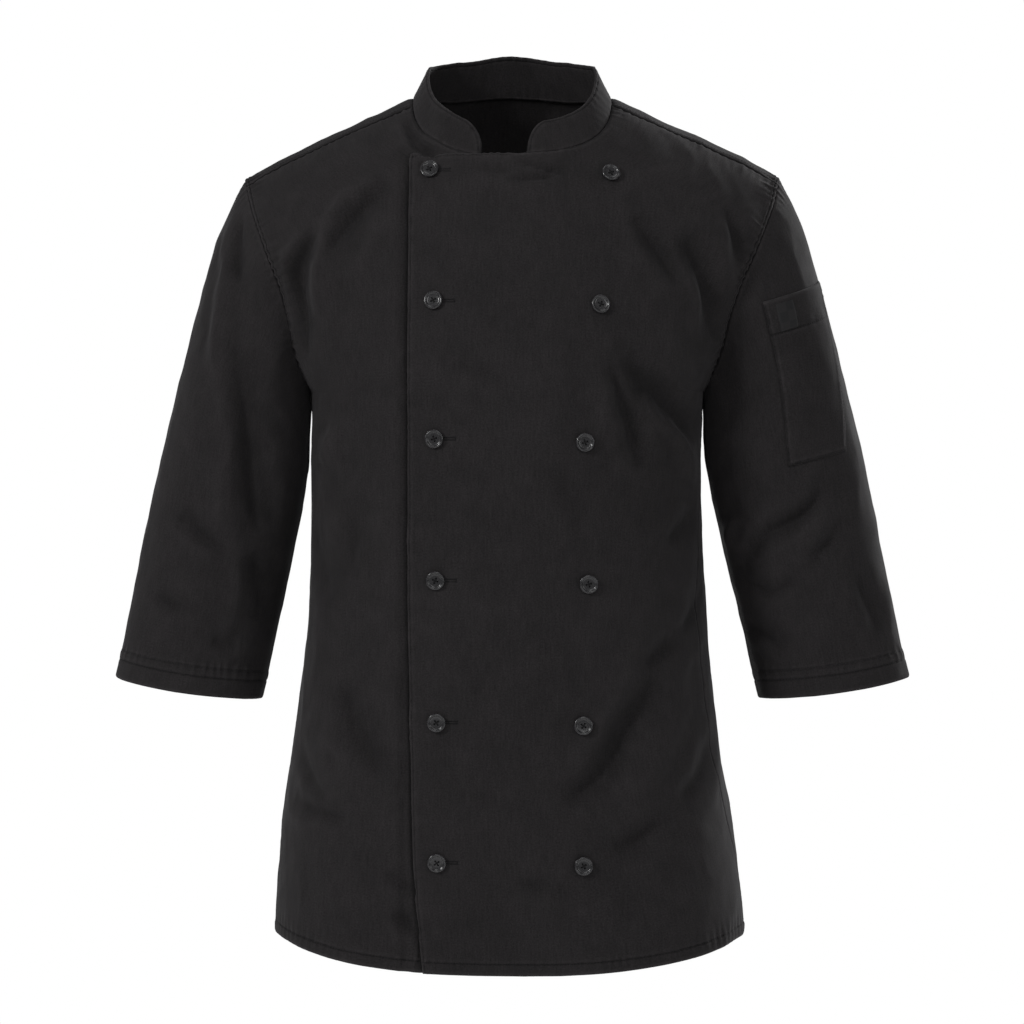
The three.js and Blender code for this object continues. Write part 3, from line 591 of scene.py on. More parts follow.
BELOW = marks(BODY_RUN, COARSE, [(0, HEM_ZONE)]) - 1
FRONT_ABOVE = marks(CHEST_RUN, COARSE, [last_part(CHEST_RUN, NECK_ZONE)])[1:] * FRONT_CORNER_SHARE
SHOULDER_MARKS = marks(SHOULDER_RUN, COARSE, [last_part(SHOULDER_RUN, SHOULDER_ZONE)])
FRONT_SHOULDER = lerp(FRONT_CORNER_SHARE, SHOULDER_SEAM, SHOULDER_MARKS)[1:]
SIDE_COLUMNS = marks(HALF_RUN, COARSE, [UNDER_LAP_ZONE, last_part(HALF_RUN, SIDE_ZONE)])
BACK_COLUMNS = marks(HALF_RUN, BACK_COARSE, [last_part(HALF_RUN, SIDE_ZONE)])
LAP_COLUMNS = marks(LAP_RUN, COARSE, [(0, LAP_ZONE)])
BACK_ABOVE = marks(BACK_RUN, BACK_COARSE)[1:] * NAPE_CORNER_SHARE


def depth_shares(start, end, depth, power, count):
    """Shares that step evenly forwards or backwards over the shoulder."""
    low = rounded(start, power) * depth
    high = rounded(end, power) * depth
    return rounded(np.linspace(low, high, count + 1) / depth, power)


NAPE_SHARES = depth_shares(
    NAPE_CORNER_SHARE, 1, BODY["back"][-1], SHOULDER_BLADE_ROUND, NAPE_STEPS
)[1:]
CREST_SHARES = depth_shares(1, SHOULDER_SEAM, BODY["front"][-1], CHEST_ROUND, CREST_STEPS)[1:]


def front_grids(side):
    """Lap and side grids of a front, rows from the hem, columns from the lap edge."""
    levels = np.concatenate([BELOW, FRONT_ABOVE])
    start = angle_at(levels, np.full_like(levels, side * FRONT_CORNER))
    neck = neck_crossing(FRONT_SHOULDER, FRONT_CORNER, front_neck_share)
    start = np.concatenate([start, angle_at(FRONT_SHOULDER, side * neck)])
    all_levels = np.concatenate([levels, FRONT_SHOULDER])
    end = side * outer_angle(all_levels, side)
    angles = lerp(start[:, None], end[:, None], SIDE_COLUMNS)
    beside = body_point(all_levels[:, None], angles, np.array(-1))

    nominal = np.where(levels < 0, height_below(levels, 0 * levels), lerp(UNDERARM, 0, levels))
    edge = -side * along(LAP, "z", "reach", nominal)
    x = lerp(edge[:, None], float(side * FRONT_CORNER), LAP_COLUMNS)
    top = np.where(x * side > 0, neck_height(x), -NECK_DROP)
    stretch = np.where(levels[:, None] > 0, share_at_height(x, top) / FRONT_CORNER_SHARE, 1)
    lap = point_at(levels[:, None] * stretch, x, np.array(-1))
    lap[:, -1] = beside[: len(levels), 0]
    return lap, beside


def back_half(levels, side, start, face):
    """Grid of one half of the back, columns from the middle to the side."""
    end = side * outer_angle(levels, side)
    overlap = np.where(levels > 0, 0, side * math.pi / 2 - end)
    angles = lerp(start[:, None], (end + 2 * overlap)[:, None], BACK_COLUMNS)
    over_front = np.abs(angles) > math.pi / 2
    shown = np.where(over_front, np.sign(angles) * math.pi - angles, angles)
    faces = np.where(over_front, -face[:, None], face[:, None])
    return body_point(levels[:, None], shown, faces)


def back_grids():
    """Half grids of the back over each shoulder, and the strip to the nape between them."""
    levels = np.concatenate([BELOW, BACK_ABOVE])
    all_levels = np.concatenate([levels, NAPE_SHARES, CREST_SHARES])
    face = np.where(np.arange(len(all_levels)) < len(levels) + len(NAPE_SHARES), 1, -1)
    halves = {}
    for side in (1, -1):
        start = angle_at(levels, np.full_like(levels, side * NAPE_CORNER))
        nape = neck_crossing(NAPE_SHARES[:-1], NAPE_CORNER, nape_share)
        front = neck_crossing(CREST_SHARES, FRONT_CORNER, front_neck_share)
        neck = np.concatenate([nape, [NECK_HALF], front])
        shares = np.concatenate([NAPE_SHARES, CREST_SHARES])
        start = np.concatenate([start, angle_at(shares, side * neck)])
        halves[side] = back_half(all_levels, side, start, face)
    x = np.linspace(NAPE_CORNER, -NAPE_CORNER, 2 * NAPE_CORNER // NAPE_STEP + 1)
    stretch = np.where(levels[:, None] > 0, nape_share(x) / NAPE_CORNER_SHARE, 1)
    middle = point_at(levels[:, None] * stretch, x[None, :], np.array(1))
    middle[:, 0] = halves[1][: len(levels), 0]
    middle[:, -1] = halves[-1][: len(levels), 0]
    return halves, middle


def sleeve_section(side, z):
    inner_column = "inner_right" if side < 0 else "inner_left"
    outer = along(SLEEVE, "z", "outer", z)
    inner = along(SLEEVE, "z", inner_column, z)
    return (outer + inner) / 2, (outer - inner) / 2, along(SLEEVE, "z", "depth", z)


def sleeve_point(side, z, turn):
    middle, half, depth = sleeve_section(side, z)
    return np.stack([side * (middle + half * np.cos(turn)), -depth * np.sin(turn), z], axis=-1)


def cuff_height(turn):
    return CUFF_OUTER - CUFF_DROP * (1 - np.cos(turn)) / 2 - CUFF_SAG * np.sin(turn) ** 2


def sleeve_grid(side, ring):
    """Rows from the armhole to the cuff. Each keeps the armhole's own shape less."""
    middle, half, depth = sleeve_section(side, ring[:, 2])
    turns = np.arctan2(-ring[:, 1] / depth, (side * ring[:, 0] - middle) / half)
    turns[0] = math.pi
    cuff = cuff_height(turns)
    band = cuff + CUFF_BAND
    down = marks(SLEEVE_RUN, SLEEVE_COARSE, [(0, ARMHOLE_ZONE)])
    upper = lerp(ring[None, :, 2], band[None, :], down[:, None])
    low = lerp(band[None, :], cuff[None, :], marks(CUFF_BAND, CUFF_STEP)[1:, None])
    z = np.vstack([upper, low])
    own = ring - sleeve_point(side, ring[:, 2], turns)
    kept = 1 - smoothstep(ring[None, :, 2] - z, 0, SLEEVE_BLEND)
    points = sleeve_point(side, z, np.broadcast_to(turns, z.shape)) + own * kept[..., None]
    points[0] = ring
    return np.concatenate([points, points[:, :1]], axis=1)


# ---------------------------------------------------------------- panels

class Panel:
    """A piece of cloth as grids of points joined into one surface of quads.

    The quads turn left seen from outside. `edges` are polylines on its border, and `seams`
    says how each is sewn.
    """

    def __init__(self, name, grids, edges, seams):
        self.name = name
        flat = [cloth_places(grid) for grid in grids]
        points = np.concatenate([grid.reshape(-1, 3) for grid in grids])
        _, first, inverse = np.unique(
            np.round(points, 3), axis=0, return_index=True, return_inverse=True
        )
        inverse = inverse.ravel()
        self.base = points[first]
        self.flat = np.concatenate([f.reshape(-1, 2) for f in flat])[first]
        self.index = []
        quads = []
        start = 0
        for grid in grids:
            rows, columns = grid.shape[:2]
            index = inverse[start:start + rows * columns].reshape(rows, columns)
            start += rows * columns
            self.index.append(index)
            corners = (index[:-1, :-1], index[:-1, 1:], index[1:, 1:], index[1:, :-1])
            quads.append(np.stack(corners, axis=-1).reshape(-1, 4))
        self.quads = np.concatenate(quads)
        self.edges = edges
        self.seams = seams
        self.points = self.base.copy()
        self.relief = np.zeros(len(self.points))
        self.near = {name: nearest_on(line, self.base) for name, line in edges.items()}


def cloth_places(grid):
    """Place of each point in the flat cloth, by distances along the rows and columns."""
    across = np.linalg.norm(np.diff(grid, axis=1), axis=2)
    up = np.linalg.norm(np.diff(grid, axis=0), axis=2)
    widest = across.mean(0)
    tallest = up.mean(1)
    u = np.concatenate([[0], np.cumsum(widest)])
    v = np.concatenate([[0], np.cumsum(tallest)])
    return np.stack(np.meshgrid(u + grid[:, 0, 0].mean(), v, indexing="xy"), axis=-1)


def nearest_on(line, points):
    """Distance of points from a polyline, and how far along it the nearest place is."""
    run = lengths(line)
    at = np.arange(0, run[-1], 0.5)
    dense = resampled(line, at)
    tree = KDTree(len(dense))
    for i, place in enumerate(dense):
        tree.insert(place, i)
    tree.balance()
    found = [tree.find(point)[1:] for point in points]
    index = np.array([i for i, _ in found])
    return np.array([d for _, d in found]), at[index]


def quad_normals(points, quads):
    a, b, c, d = (points[quads[:, i]] for i in range(4))
    return np.cross(c - a, d - b)


def own_normals(points, quads):
    sums = np.zeros_like(points)
    faces = quad_normals(points, quads)
    for i in range(4):
        np.add.at(sums, quads[:, i], faces)
    return unit(sums)


def shared_normals(panels):
    """Normals of panels that meet in seams, by the points that they share."""
    base = np.concatenate([panel.base for panel in panels])
    _, ids = np.unique(np.round(base, 2), axis=0, return_inverse=True)
    ids = ids.ravel()
    sums = np.zeros((ids.max() + 1, 3))
    start = 0
    spans = []
    for panel in panels:
        own = ids[start:start + len(panel.base)]
        faces = quad_normals(panel.points, panel.quads)
        for i in range(4):
            np.add.at(sums, own[panel.quads[:, i]], faces)
        spans.append(own)
        start += len(panel.base)
    sums = unit(sums)
    return [sums[own] for own in spans]


# ---------------------------------------------------------------- folds and seams

def line_offsets(line, places):
    """Signed distance of places in a plane from a line, and the share along it."""
    starts, runs = line[:-1], np.diff(line, axis=0)
    squares = (runs ** 2).sum(1)
    away = places[:, None, :] - starts
    share = np.clip((away * runs).sum(2) / squares, 0, 1)
    gap = away - share[..., None] * runs
    distance = np.linalg.norm(gap, axis=2)
    nearest = distance.argmin(1)
    pick = np.arange(len(places))
    run, side = runs[nearest], away[pick, nearest]
    sign = np.sign(run[:, 0] * side[:, 1] - run[:, 1] * side[:, 0])
    return distance[pick, nearest] * sign, (nearest + share[pick, nearest]) / len(starts)


def fold_depth(folds, points, normals):
    """How far all folds together sink each point."""
    total = np.zeros(len(points))
    wander = FOLD_WANDER * noise(points / 32, 3)
    uneven = 1 + 0.3 * noise(points / 24, 4)
    for view, path, width, depth in folds:
        axis, normal_axis, sign = VIEWS[view]
        line = smooth_line(path, FOLD_STEPS)
        places = points[:, (axis, 2)]
        reach = 3.6 * width
        facing = sign * normals[:, normal_axis]
        inside = (places > line.min(0) - reach) & (places < line.max(0) + reach)
        near = np.flatnonzero(inside.all(1) & (facing > 0.1))
        if not len(near):
            continue
        offset, share = line_offsets(line, places[near])
        spread = np.abs(offset) + wander[near] * np.minimum(np.abs(offset) / width, 1)
        spread /= width * uneven[near] * (1 + FOLD_LEAN * np.tanh(offset / width))
        trough = lerp(np.exp(-spread ** 2), np.exp(-(spread / 0.4) ** 2), FOLD_CREASE)
        bank = np.exp(-((spread - 1.7) / 0.9) ** 2)
        taper = 0.1 + 0.9 * np.sin(math.pi * share) ** 0.6
        faced = smoothstep(facing[near], 0.1, 0.5)
        total[near] += depth * (trough - FOLD_BANK * bank) * taper * faced
    return total * FOLD_STRENGTH


def drape(points):
    """Slow swells of the cloth, larger towards the hem, and slight creases over all."""
    swell = SWELL * noise(points / SWELL_CELL, 21)
    flare = smoothstep(-points[:, 2], HEM_WAVE_FROM, HEM_WAVE_FULL)
    flare = flare * (np.abs(points[:, 0]) < SLEEVE_FROM)
    waves = HEM_WAVE * flare * noise(points / HEM_WAVE_CELL, 22)
    crumple = CREASE * (1 - 2 * np.abs(noise(points / CREASE_CELL, 23)))
    ripple = RIPPLE * noise(points / RIPPLE_CELL, 24)
    return swell + waves + crumple + ripple


def hump(distance, width):
    """A smooth rise to 1 at no distance, of this half-width."""
    return np.exp(-(distance / width) ** 2)


def seam_relief(seam, distance, place, seed):
    """Height of the cloth beside a sewn edge: turned-in band, stitch grooves and puckers."""
    band, rise, rows = seam["band"], seam["rise"], seam["rows"]
    raised = rise * (1 - smoothstep(distance, band, band + 1.6)) if band else 0
    roll = -SEAM_ROLL * np.exp(-(distance / SEAM_ROLL_WIDTH) ** 2)
    grooves = sum(np.exp(-((distance - row) / GROOVE_WIDTH) ** 2) for row in rows)
    cells = np.stack([place / GATHER_WAVE, distance / 26, 0 * place + seed], axis=1)
    phase = cells[:, 0] + 0.5 * noise(cells * (0.35, 0.6, 1), 5)
    middle = rows[0] if rows else 1.5
    fade = np.exp(-((distance - middle) / seam["reach"]) ** 2) * (distance < 45)
    strength = np.clip(0.7 + 0.9 * noise(cells * (0.14, 0.5, 1), 6), 0.1, 1.5)
    ridges = 1 - 2 * np.abs(np.sin(math.pi * phase))
    return raised + roll - GROOVE * grooves + seam["gather"] * fade * strength * ridges


def apply_folds(panel, normals, folds, armhole_fade):
    depth = fold_depth(folds, panel.base, normals)
    if armhole_fade:
        away = np.min([panel.near[name][0] for name in armhole_fade], axis=0)
        depth *= smoothstep(away, 0, ARMHOLE_FADE)
    panel.relief = drape(panel.base) - depth
    panel.points += normals * panel.relief[:, None]


def apply_seams(panel, normals):
    relief = np.zeros(len(panel.points))
    for seed, (name, kind) in enumerate(sorted(panel.seams.items())):
        distance, place = panel.near[name]
        relief += seam_relief(SEAMS[kind], distance, place, seed * 9.3)
    panel.points += normals * relief[:, None]


def tuck_under_lap(panel, normals):
    """Sinks the wearer's right front under the lap."""
    beside = smoothstep(panel.base[:, 0], -99, -90)
    ditch = DITCH * np.exp(-(panel.near["under_lap"][0] / DITCH_WIDTH) ** 2)
    below = 1 - smoothstep(panel.base[:, 2], -NECK_DROP + 2, -NECK_DROP + 12)
    panel.points -= normals * ((TUCK * beside + ditch) * below)[:, None]


def thickness_of(panel):
    """Wall of a panel: one cloth, and more where an edge is turned in."""
    wall = np.full(len(panel.points), CLOTH)
    for name, kind in panel.seams.items():
        band = SEAMS[kind]["band"]
        if band:
            folded = 1 - smoothstep(panel.near[name][0], band, band + 1.2)
            wall = np.maximum(wall, lerp(CLOTH, FOLDED_CLOTH, folded))
    return wall


def painted_shade_and_wear_of(panel):
    """Painted light, painted shade and wear of the cloth: painted light on ridges, painted shade in
    folds, seam gaps, stitch grooves and beside the lap's edge; paler edges, partly wear and partly
    a painted highlight; worn bands beside the stitching.
    """
    # painted light on the ridges and painted shade in the folds, by how far the cloth stands out or
    # is sunk
    wear = FOLD_PAINTED_LIGHT_AND_SHADE * np.clip(panel.relief, SUNK_MOST, RAISED_MOST)
    patchy = 0.9 + 0.9 * noise(panel.base / PATCH_CELL, 31)
    if "under_lap" in panel.near:
        # painted shadow of the lap's edge on the under front beside it
        wear -= DITCH_PAINTED_SHADOW * hump(panel.near["under_lap"][0], DITCH_WIDTH)
    for name, kind in panel.seams.items():
        distance = panel.near[name][0]
        # paler just inside each edge: partly wear, partly a painted highlight where the rolled edge
        # catches the light
        wear += EDGE_WEAR_AND_HIGHLIGHT * patchy * hump(distance - EDGE_WEAR_AND_HIGHLIGHT_AT, EDGE_WEAR_AND_HIGHLIGHT_WIDTH)
        # painted shade in the gap where this edge meets another piece
        wear -= SEAM_PAINTED_SHADE * SEAMS[kind]["joined"] * hump(distance, SEAM_PAINTED_SHADE_WIDTH)
        for row in SEAMS[kind]["rows"]:
            # painted shade in the groove of each line of stitching
            wear -= ROW_PAINTED_SHADE * hump(distance - row, ROW_PAINTED_SHADE_WIDTH)
            wear += WORN_ROW * patchy * hump(distance - row - WORN_ROW_AT, WORN_ROW_WIDTH)
    return wear


# ---------------------------------------------------------------- meshes

def border_of(quads):
    """Directed border edges of a surface, as start and end points."""
    starts = quads.ravel()
    ends = np.roll(quads, -1, axis=1).ravel()
    size = int(quads.max()) + 1
    forward, backward = starts * size + ends, ends * size + starts
    free = ~np.isin(forward, backward)
    return starts[free], ends[free]


def shell(panel, shared, wall):
    """A closed thin wall inside a panel's points, with rounded edges."""
    points, quads = panel.points, panel.quads
    own = own_normals(points, quads)
    starts, ends = border_of(quads)
    count = len(points)
    inward = np.zeros_like(points)
    side = unit(np.cross(own[starts], points[ends] - points[starts]))
    np.add.at(inward, starts, side)
    np.add.at(inward, ends, side)
    inward = unit(inward)
    border = np.unique(starts)
    moves = np.zeros_like(points)
    moves[border] = inward[border] * SEAM_GAP / 2
    valley = (moves * shared).sum(1) > VALLEY * SEAM_GAP
    normals = np.where(valley[:, None], own, shared)
    outer = points + moves - normals * (SEAM_GAP / 2 * valley)[:, None]
    inner = outer - normals * wall[:, None]
    reach = SEAM_MEET + wall[border, None] * EDGE_ROUND
    middle = (outer[border] + inner[border]) / 2 - inward[border] * reach
    drawn_in = inward[border] * wall[border, None] * EDGE_ROUND
    drop = normals[border] * wall[border, None] * EDGE_ROUND
    outer[border] += drawn_in - drop
    inner[border] += drawn_in + drop
    rank = np.full(count, -1)
    rank[border] = np.arange(len(border))
    mid_starts, mid_ends = 2 * count + rank[starts], 2 * count + rank[ends]
    rims = [
        np.stack([starts, mid_starts, mid_ends, ends], axis=1),
        np.stack([mid_starts, starts + count, ends + count, mid_ends], axis=1),
    ]
    faces = np.concatenate([quads, quads[:, ::-1] + count, *rims])
    source = np.concatenate([np.arange(count), np.arange(count), border])
    return np.concatenate([outer, inner, middle]), faces, source


def mesh_object(name, points, faces, material, flat=None, wear=None):
    """A smooth mesh in metres from points in millimetres."""
    mesh = bpy.data.meshes.new(name)
    corners = faces.shape[1]
    mesh.vertices.add(len(points))
    mesh.vertices.foreach_set("co", (points * METRES).astype(np.float32).ravel())
    mesh.loops.add(faces.size)
    mesh.loops.foreach_set("vertex_index", faces.astype(np.int32).ravel())
    mesh.polygons.add(len(faces))
    mesh.polygons.foreach_set("loop_start", np.arange(0, faces.size, corners, dtype=np.int32))
    mesh.polygons.foreach_set("use_smooth", np.ones(len(faces), bool))
    mesh.update(calc_edges=True)
    if flat is not None:
        layer = mesh.uv_layers.new(name="cloth")
        layer.data.foreach_set("uv", (flat[faces.ravel()] * METRES).astype(np.float32).ravel())
    # painted light and shade of folds and seams, with edge highlight and wear, kept for the cloth's
    # colour
    if wear is not None:
        attribute = mesh.attributes.new("wear", "FLOAT", "POINT")
        attribute.data.foreach_set("value", wear.astype(np.float32))
    mesh.materials.append(material)
    piece = bpy.data.objects.new(name, mesh)
    bpy.context.scene.collection.objects.link(piece)
    return piece


def panel_object(panel, shared, wall, material):
    points, faces, source = shell(panel, shared, wall)
    wear = painted_shade_and_wear_of(panel)[source]
    name = panel.name + "_cloth"
    return mesh_object(name, points, faces, material, panel.flat[source], wear)


def surface_tree(panel):
    """For finding places on a panel's outer surface, in millimetres."""
    return BVHTree.FromPolygons(panel.points.tolist(), panel.quads.tolist())


# ---------------------------------------------------------------- thread

def stitch_template():
    """One stitch along x, as rings round a low arch, with a tip at each end."""
    points = [(-0.5, 0, -0.9)]
    for x, size in ((-0.34, 0.8), (0, 1.0), (0.34, 0.8)):
        lift = 0.55 - 3.2 * x * x
        for y, z in ((1, 0), (0, 1), (-1, 0), (0, -1)):
            points.append((x, y * size, z * size + lift))
    points.append((0.5, 0, -0.9))
    faces = []
    for i in range(4):
        after = (i + 1) % 4
        faces.append((0, 1 + after, 1 + i))
        for ring in (0, 4):
            faces.append((1 + ring + i, 1 + ring + after, 5 + ring + after, 5 + ring + i))
        faces.append((9 + i, 9 + after, 13))
    return np.array(points, float), faces


STITCH_POINTS, STITCH_FACES = stitch_template()


class Stitches:
    """Many stitches gathered into one mesh."""

    def __init__(self):
        self.points = []

    def add(self, places, ahead, normals, length=STITCH_LENGTH, radius=THREAD_RADIUS):
        side = unit(np.cross(normals, ahead))
        ahead = unit(np.cross(side, normals))
        local = STITCH_POINTS[None] * (length, radius, radius)
        points = (
            places[:, None]
            + local[..., :1] * ahead[:, None]
            + local[..., 1:2] * side[:, None]
            + local[..., 2:] * normals[:, None]
        )
        self.points.extend(points)

    def mesh(self, name, material):
        size = len(STITCH_POINTS)
        faces = [
            tuple(n * size + corner for corner in face)
            for n in range(len(self.points))
            for face in STITCH_FACES
        ]
        mesh = bpy.data.meshes.new(name)
        places = np.concatenate(self.points) * METRES
        mesh.from_pydata(places.tolist(), [], faces)
        mesh.polygons.foreach_set("use_smooth", np.ones(len(mesh.polygons), bool))
        mesh.update()
        mesh.materials.append(material)
        return mesh

    def piece(self, name, material):
        piece = bpy.data.objects.new(name, self.mesh(name, material))
        bpy.context.scene.collection.objects.link(piece)
        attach(piece, "root")
        return piece


def seam_line(panel, edge, distance):
    """The line on a panel's surface at a distance from one of its edges, with normals."""
    away, place = panel.near[edge]
    first, second = np.concatenate([panel.quads[:, (0, 1)], panel.quads[:, (1, 2)]]).T
    crossing = (away[first] < distance) != (away[second] < distance)
    first, second = first[crossing], second[crossing]
    share = (distance - away[first]) / (away[second] - away[first])
    at = lerp(place[first], place[second], share)
    share = share[:, None]
    normals = own_normals(panel.points, panel.quads)
    found = np.hstack([
        lerp(panel.points[first], panel.points[second], share),
        lerp(normals[first], normals[second], share),
    ])
    inside = (at > 1) & (at < lengths(panel.edges[edge])[-1] - 1)
    _, cell = np.unique((at[inside] / SEAM_SAMPLE).astype(int), return_inverse=True)
    counts = np.bincount(cell)
    means = [np.bincount(cell, column) / counts for column in found[inside].T]
    line = np.stack(means, axis=1)
    return line[:, :3], unit(line[:, 3:])


def stitches_along(stitches, line, normals):
    """A row of stitches, evenly spaced along a line."""
    run = lengths(line)
    count = int(run[-1] // STITCH_PITCH)
    at = (np.arange(count) + 0.5) * run[-1] / count
    ahead = resampled(line, at + 0.6) - resampled(line, at - 0.6)
    facing = np.stack([np.interp(at, run, normals[:, i]) for i in range(3)], axis=1)
    stitches.add(resampled(line, at), ahead, unit(facing))


def sewn(panel, thread):
    """All rows of stitching on a panel as one piece."""
    stitches = Stitches()
    for edge, kind in panel.seams.items():
        for distance in SEAMS[kind]["rows"]:
            stitches_along(stitches, *seam_line(panel, edge, distance))
    return stitches.piece(panel.name + "_stitches", thread)


# ---------------------------------------------------------------- buttons

def cloth_in_front(tree, x, z):
    """Place and smoothed normal of the cloth's front at x and z."""
    hits = [
        tree.ray_cast(Vector((x + dx, -400, z + dz)), Vector((0, 1, 0)))
        for dx, dz in ((0, 0), (7, 0), (-7, 0), (0, 7), (0, -7))
    ]
    normal = sum((hit[1] for hit in hits), Vector())
    return hits[0][0], normal.normalized()


def lathe_mesh(name, profile, material):
    """A turned form about z from (radius, height) points, closed with flat caps."""
    rings = [
        [(r * math.cos(a), r * math.sin(a), h) for a in LATHE_ANGLES] for r, h in profile
    ]
    points = np.array(rings).reshape(-1, 3) * METRES
    turn = len(LATHE_ANGLES)
    faces = [
        (low * turn + i, low * turn + (i + 1) % turn,
         (low + 1) * turn + (i + 1) % turn, (low + 1) * turn + i)
        for low in range(len(profile) - 1)
        for i in range(turn)
    ]
    faces.append(tuple(reversed(range(turn))))
    faces.append(tuple(range(len(points) - turn, len(points))))
    mesh = bpy.data.meshes.new(name)
    mesh.from_pydata(points.tolist(), [], faces)
    mesh.materials.append(material)
    return mesh


def hole_places():
    return [(x * HOLE_SPREAD, y * HOLE_SPREAD) for x in (-1, 1) for y in (-1, 1)]


def drilled(mesh, material):
    """The same mesh with the four thread holes cut through it."""
    body = bpy.data.objects.new("button_blank", mesh)
    bpy.context.scene.collection.objects.link(body)
    drills = []
    for x, y in hole_places():
        drill = lathe_mesh("drill", ((HOLE_RADIUS, -1), (HOLE_RADIUS, 5)), material)
        tool = bpy.data.objects.new("drill", drill)
        tool.location = (x * METRES, y * METRES, 0)
        bpy.context.scene.collection.objects.link(tool)
        cut = body.modifiers.new("hole", "BOOLEAN")
        cut.operation = "DIFFERENCE"
        cut.object = tool
        drills.append(tool)
    evaluated = body.evaluated_get(bpy.context.evaluated_depsgraph_get())
    cut_mesh = bpy.data.meshes.new_from_object(evaluated)
    for extra in (body, *drills):
        bpy.data.objects.remove(extra)
    cut_mesh.polygons.foreach_set("use_smooth", np.ones(len(cut_mesh.polygons), bool))
    cut_mesh.set_sharp_from_angle(angle=math.radians(50))
    cut_mesh.name = "button"
    return cut_mesh


def button_thread_mesh(thread):
    """Crossed thread in a button's holes and the shank under it, in the button's frame."""
    stitches = Stitches()
    up = np.array([[0.0, 0, 1]])
    for turn in (1, -1):
        for strand in (-0.34, 0, 0.34):
            place = np.array([[strand * 0.7, -strand * turn * 0.7, BUTTON_FLOOR + 0.25]])
            ahead = np.array([[1.0, turn, 0]])
            stitches.add(place, ahead, up, 2 * math.sqrt(2) * HOLE_SPREAD + 1, 0.24)
    for i in range(10):
        angle = 2 * math.pi * i / 10
        out = np.array([[math.cos(angle), math.sin(angle), 0]])
        stitches.add(out * 1.5 + (0, 0, -0.6), up, out, 3.2, 0.5)
    return stitches.mesh("button_thread", thread)


def button_frame(tree, x, z, chance):
    """Placement of a button on the cloth, a little tilted and turned on its thread."""
    place, out = cloth_in_front(tree, x, z)
    lean = Vector(chance.normal(0, math.radians(BUTTON_TILT), 3).tolist())
    out = (out + lean).normalized()
    turned = out.to_track_quat("Z", "Y").to_matrix().to_4x4()
    spin = Matrix.Rotation(chance.uniform(-0.5, 0.5), 4, "Z")
    return Matrix.Translation((place + out * BUTTON_LIFT) * METRES) @ turned @ spin


def buttonhole(stitches, tree, x, z):
    """Two rows of satin stitches either side of a slit, with a bar across its end."""
    count = int((BUTTONHOLE_TO - BUTTONHOLE_FROM) / SATIN_PITCH)
    rows = [
        (x + lerp(BUTTONHOLE_FROM, BUTTONHOLE_TO, i / count), z + side * BUTTONHOLE_GAP, (0, 0, 1))
        for side in (-1, 1)
        for i in range(count + 1)
    ]
    bar = [(x + BUTTONHOLE_TO + 0.7, z + step * SATIN_PITCH, (1, 0, 0)) for step in range(-3, 4)]
    for at_x, at_z, ahead in rows + bar:
        place, normal = cloth_in_front(tree, at_x, at_z)
        stitches.add(np.array([place]), np.array([ahead], float), np.array([normal]),
                     SATIN_LENGTH, SATIN_RADIUS)


def button_places():
    """Centre of each CAD button across and up, in millimetres."""
    places = {}
    for number in range(1, BUTTON_COUNT + 1):
        name = f"button_{number:02d}"
        low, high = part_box(name)
        places[name] = ((low[0] + high[0]) / 2 / METRES, (low[2] + high[2]) / 2 / METRES)
    return places


def add_buttons(tree, resin, thread):
    chance = np.random.default_rng(5)
    profile = smooth_line(BUTTON_PROFILE, 4 * (len(BUTTON_PROFILE) - 1))
    button = drilled(lathe_mesh("button", profile, resin), resin)
    thread_mesh = button_thread_mesh(thread)
    for name, (x, z) in button_places().items():
        placement = button_frame(tree, x, z, chance)
        for mesh, suffix, finish in ((button, "resin", "button"), (thread_mesh, "thread", "cloth")):
            piece = bpy.data.objects.new(f"{name}_{suffix}", mesh)
            piece.matrix_world = placement
            bpy.context.scene.collection.objects.link(piece)
            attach(piece, "root")
            if suffix == "resin":
                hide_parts(name)


def add_buttonholes(tree, thread):
    stitches = Stitches()
    for x, z in button_places().values():
        if x < 0:
            buttonhole(stitches, tree, x, z)
    return stitches.piece("buttonholes", thread)


# ---------------------------------------------------------------- materials

def node_material(name):
    material = bpy.data.materials.new(name)
    material.use_nodes = True
    nodes = material.node_tree.nodes
    return material, nodes, material.node_tree.links, nodes["Principled BSDF"]


def add_node(nodes, kind, **values):
    """A node with its settings, and its inputs by name with _ for a space."""
    node = nodes.new(kind)
    for key, value in values.items():
        if hasattr(node, key):
            setattr(node, key, value)
        else:
            node.inputs[key.replace("_", " ")].default_value = value
    return node


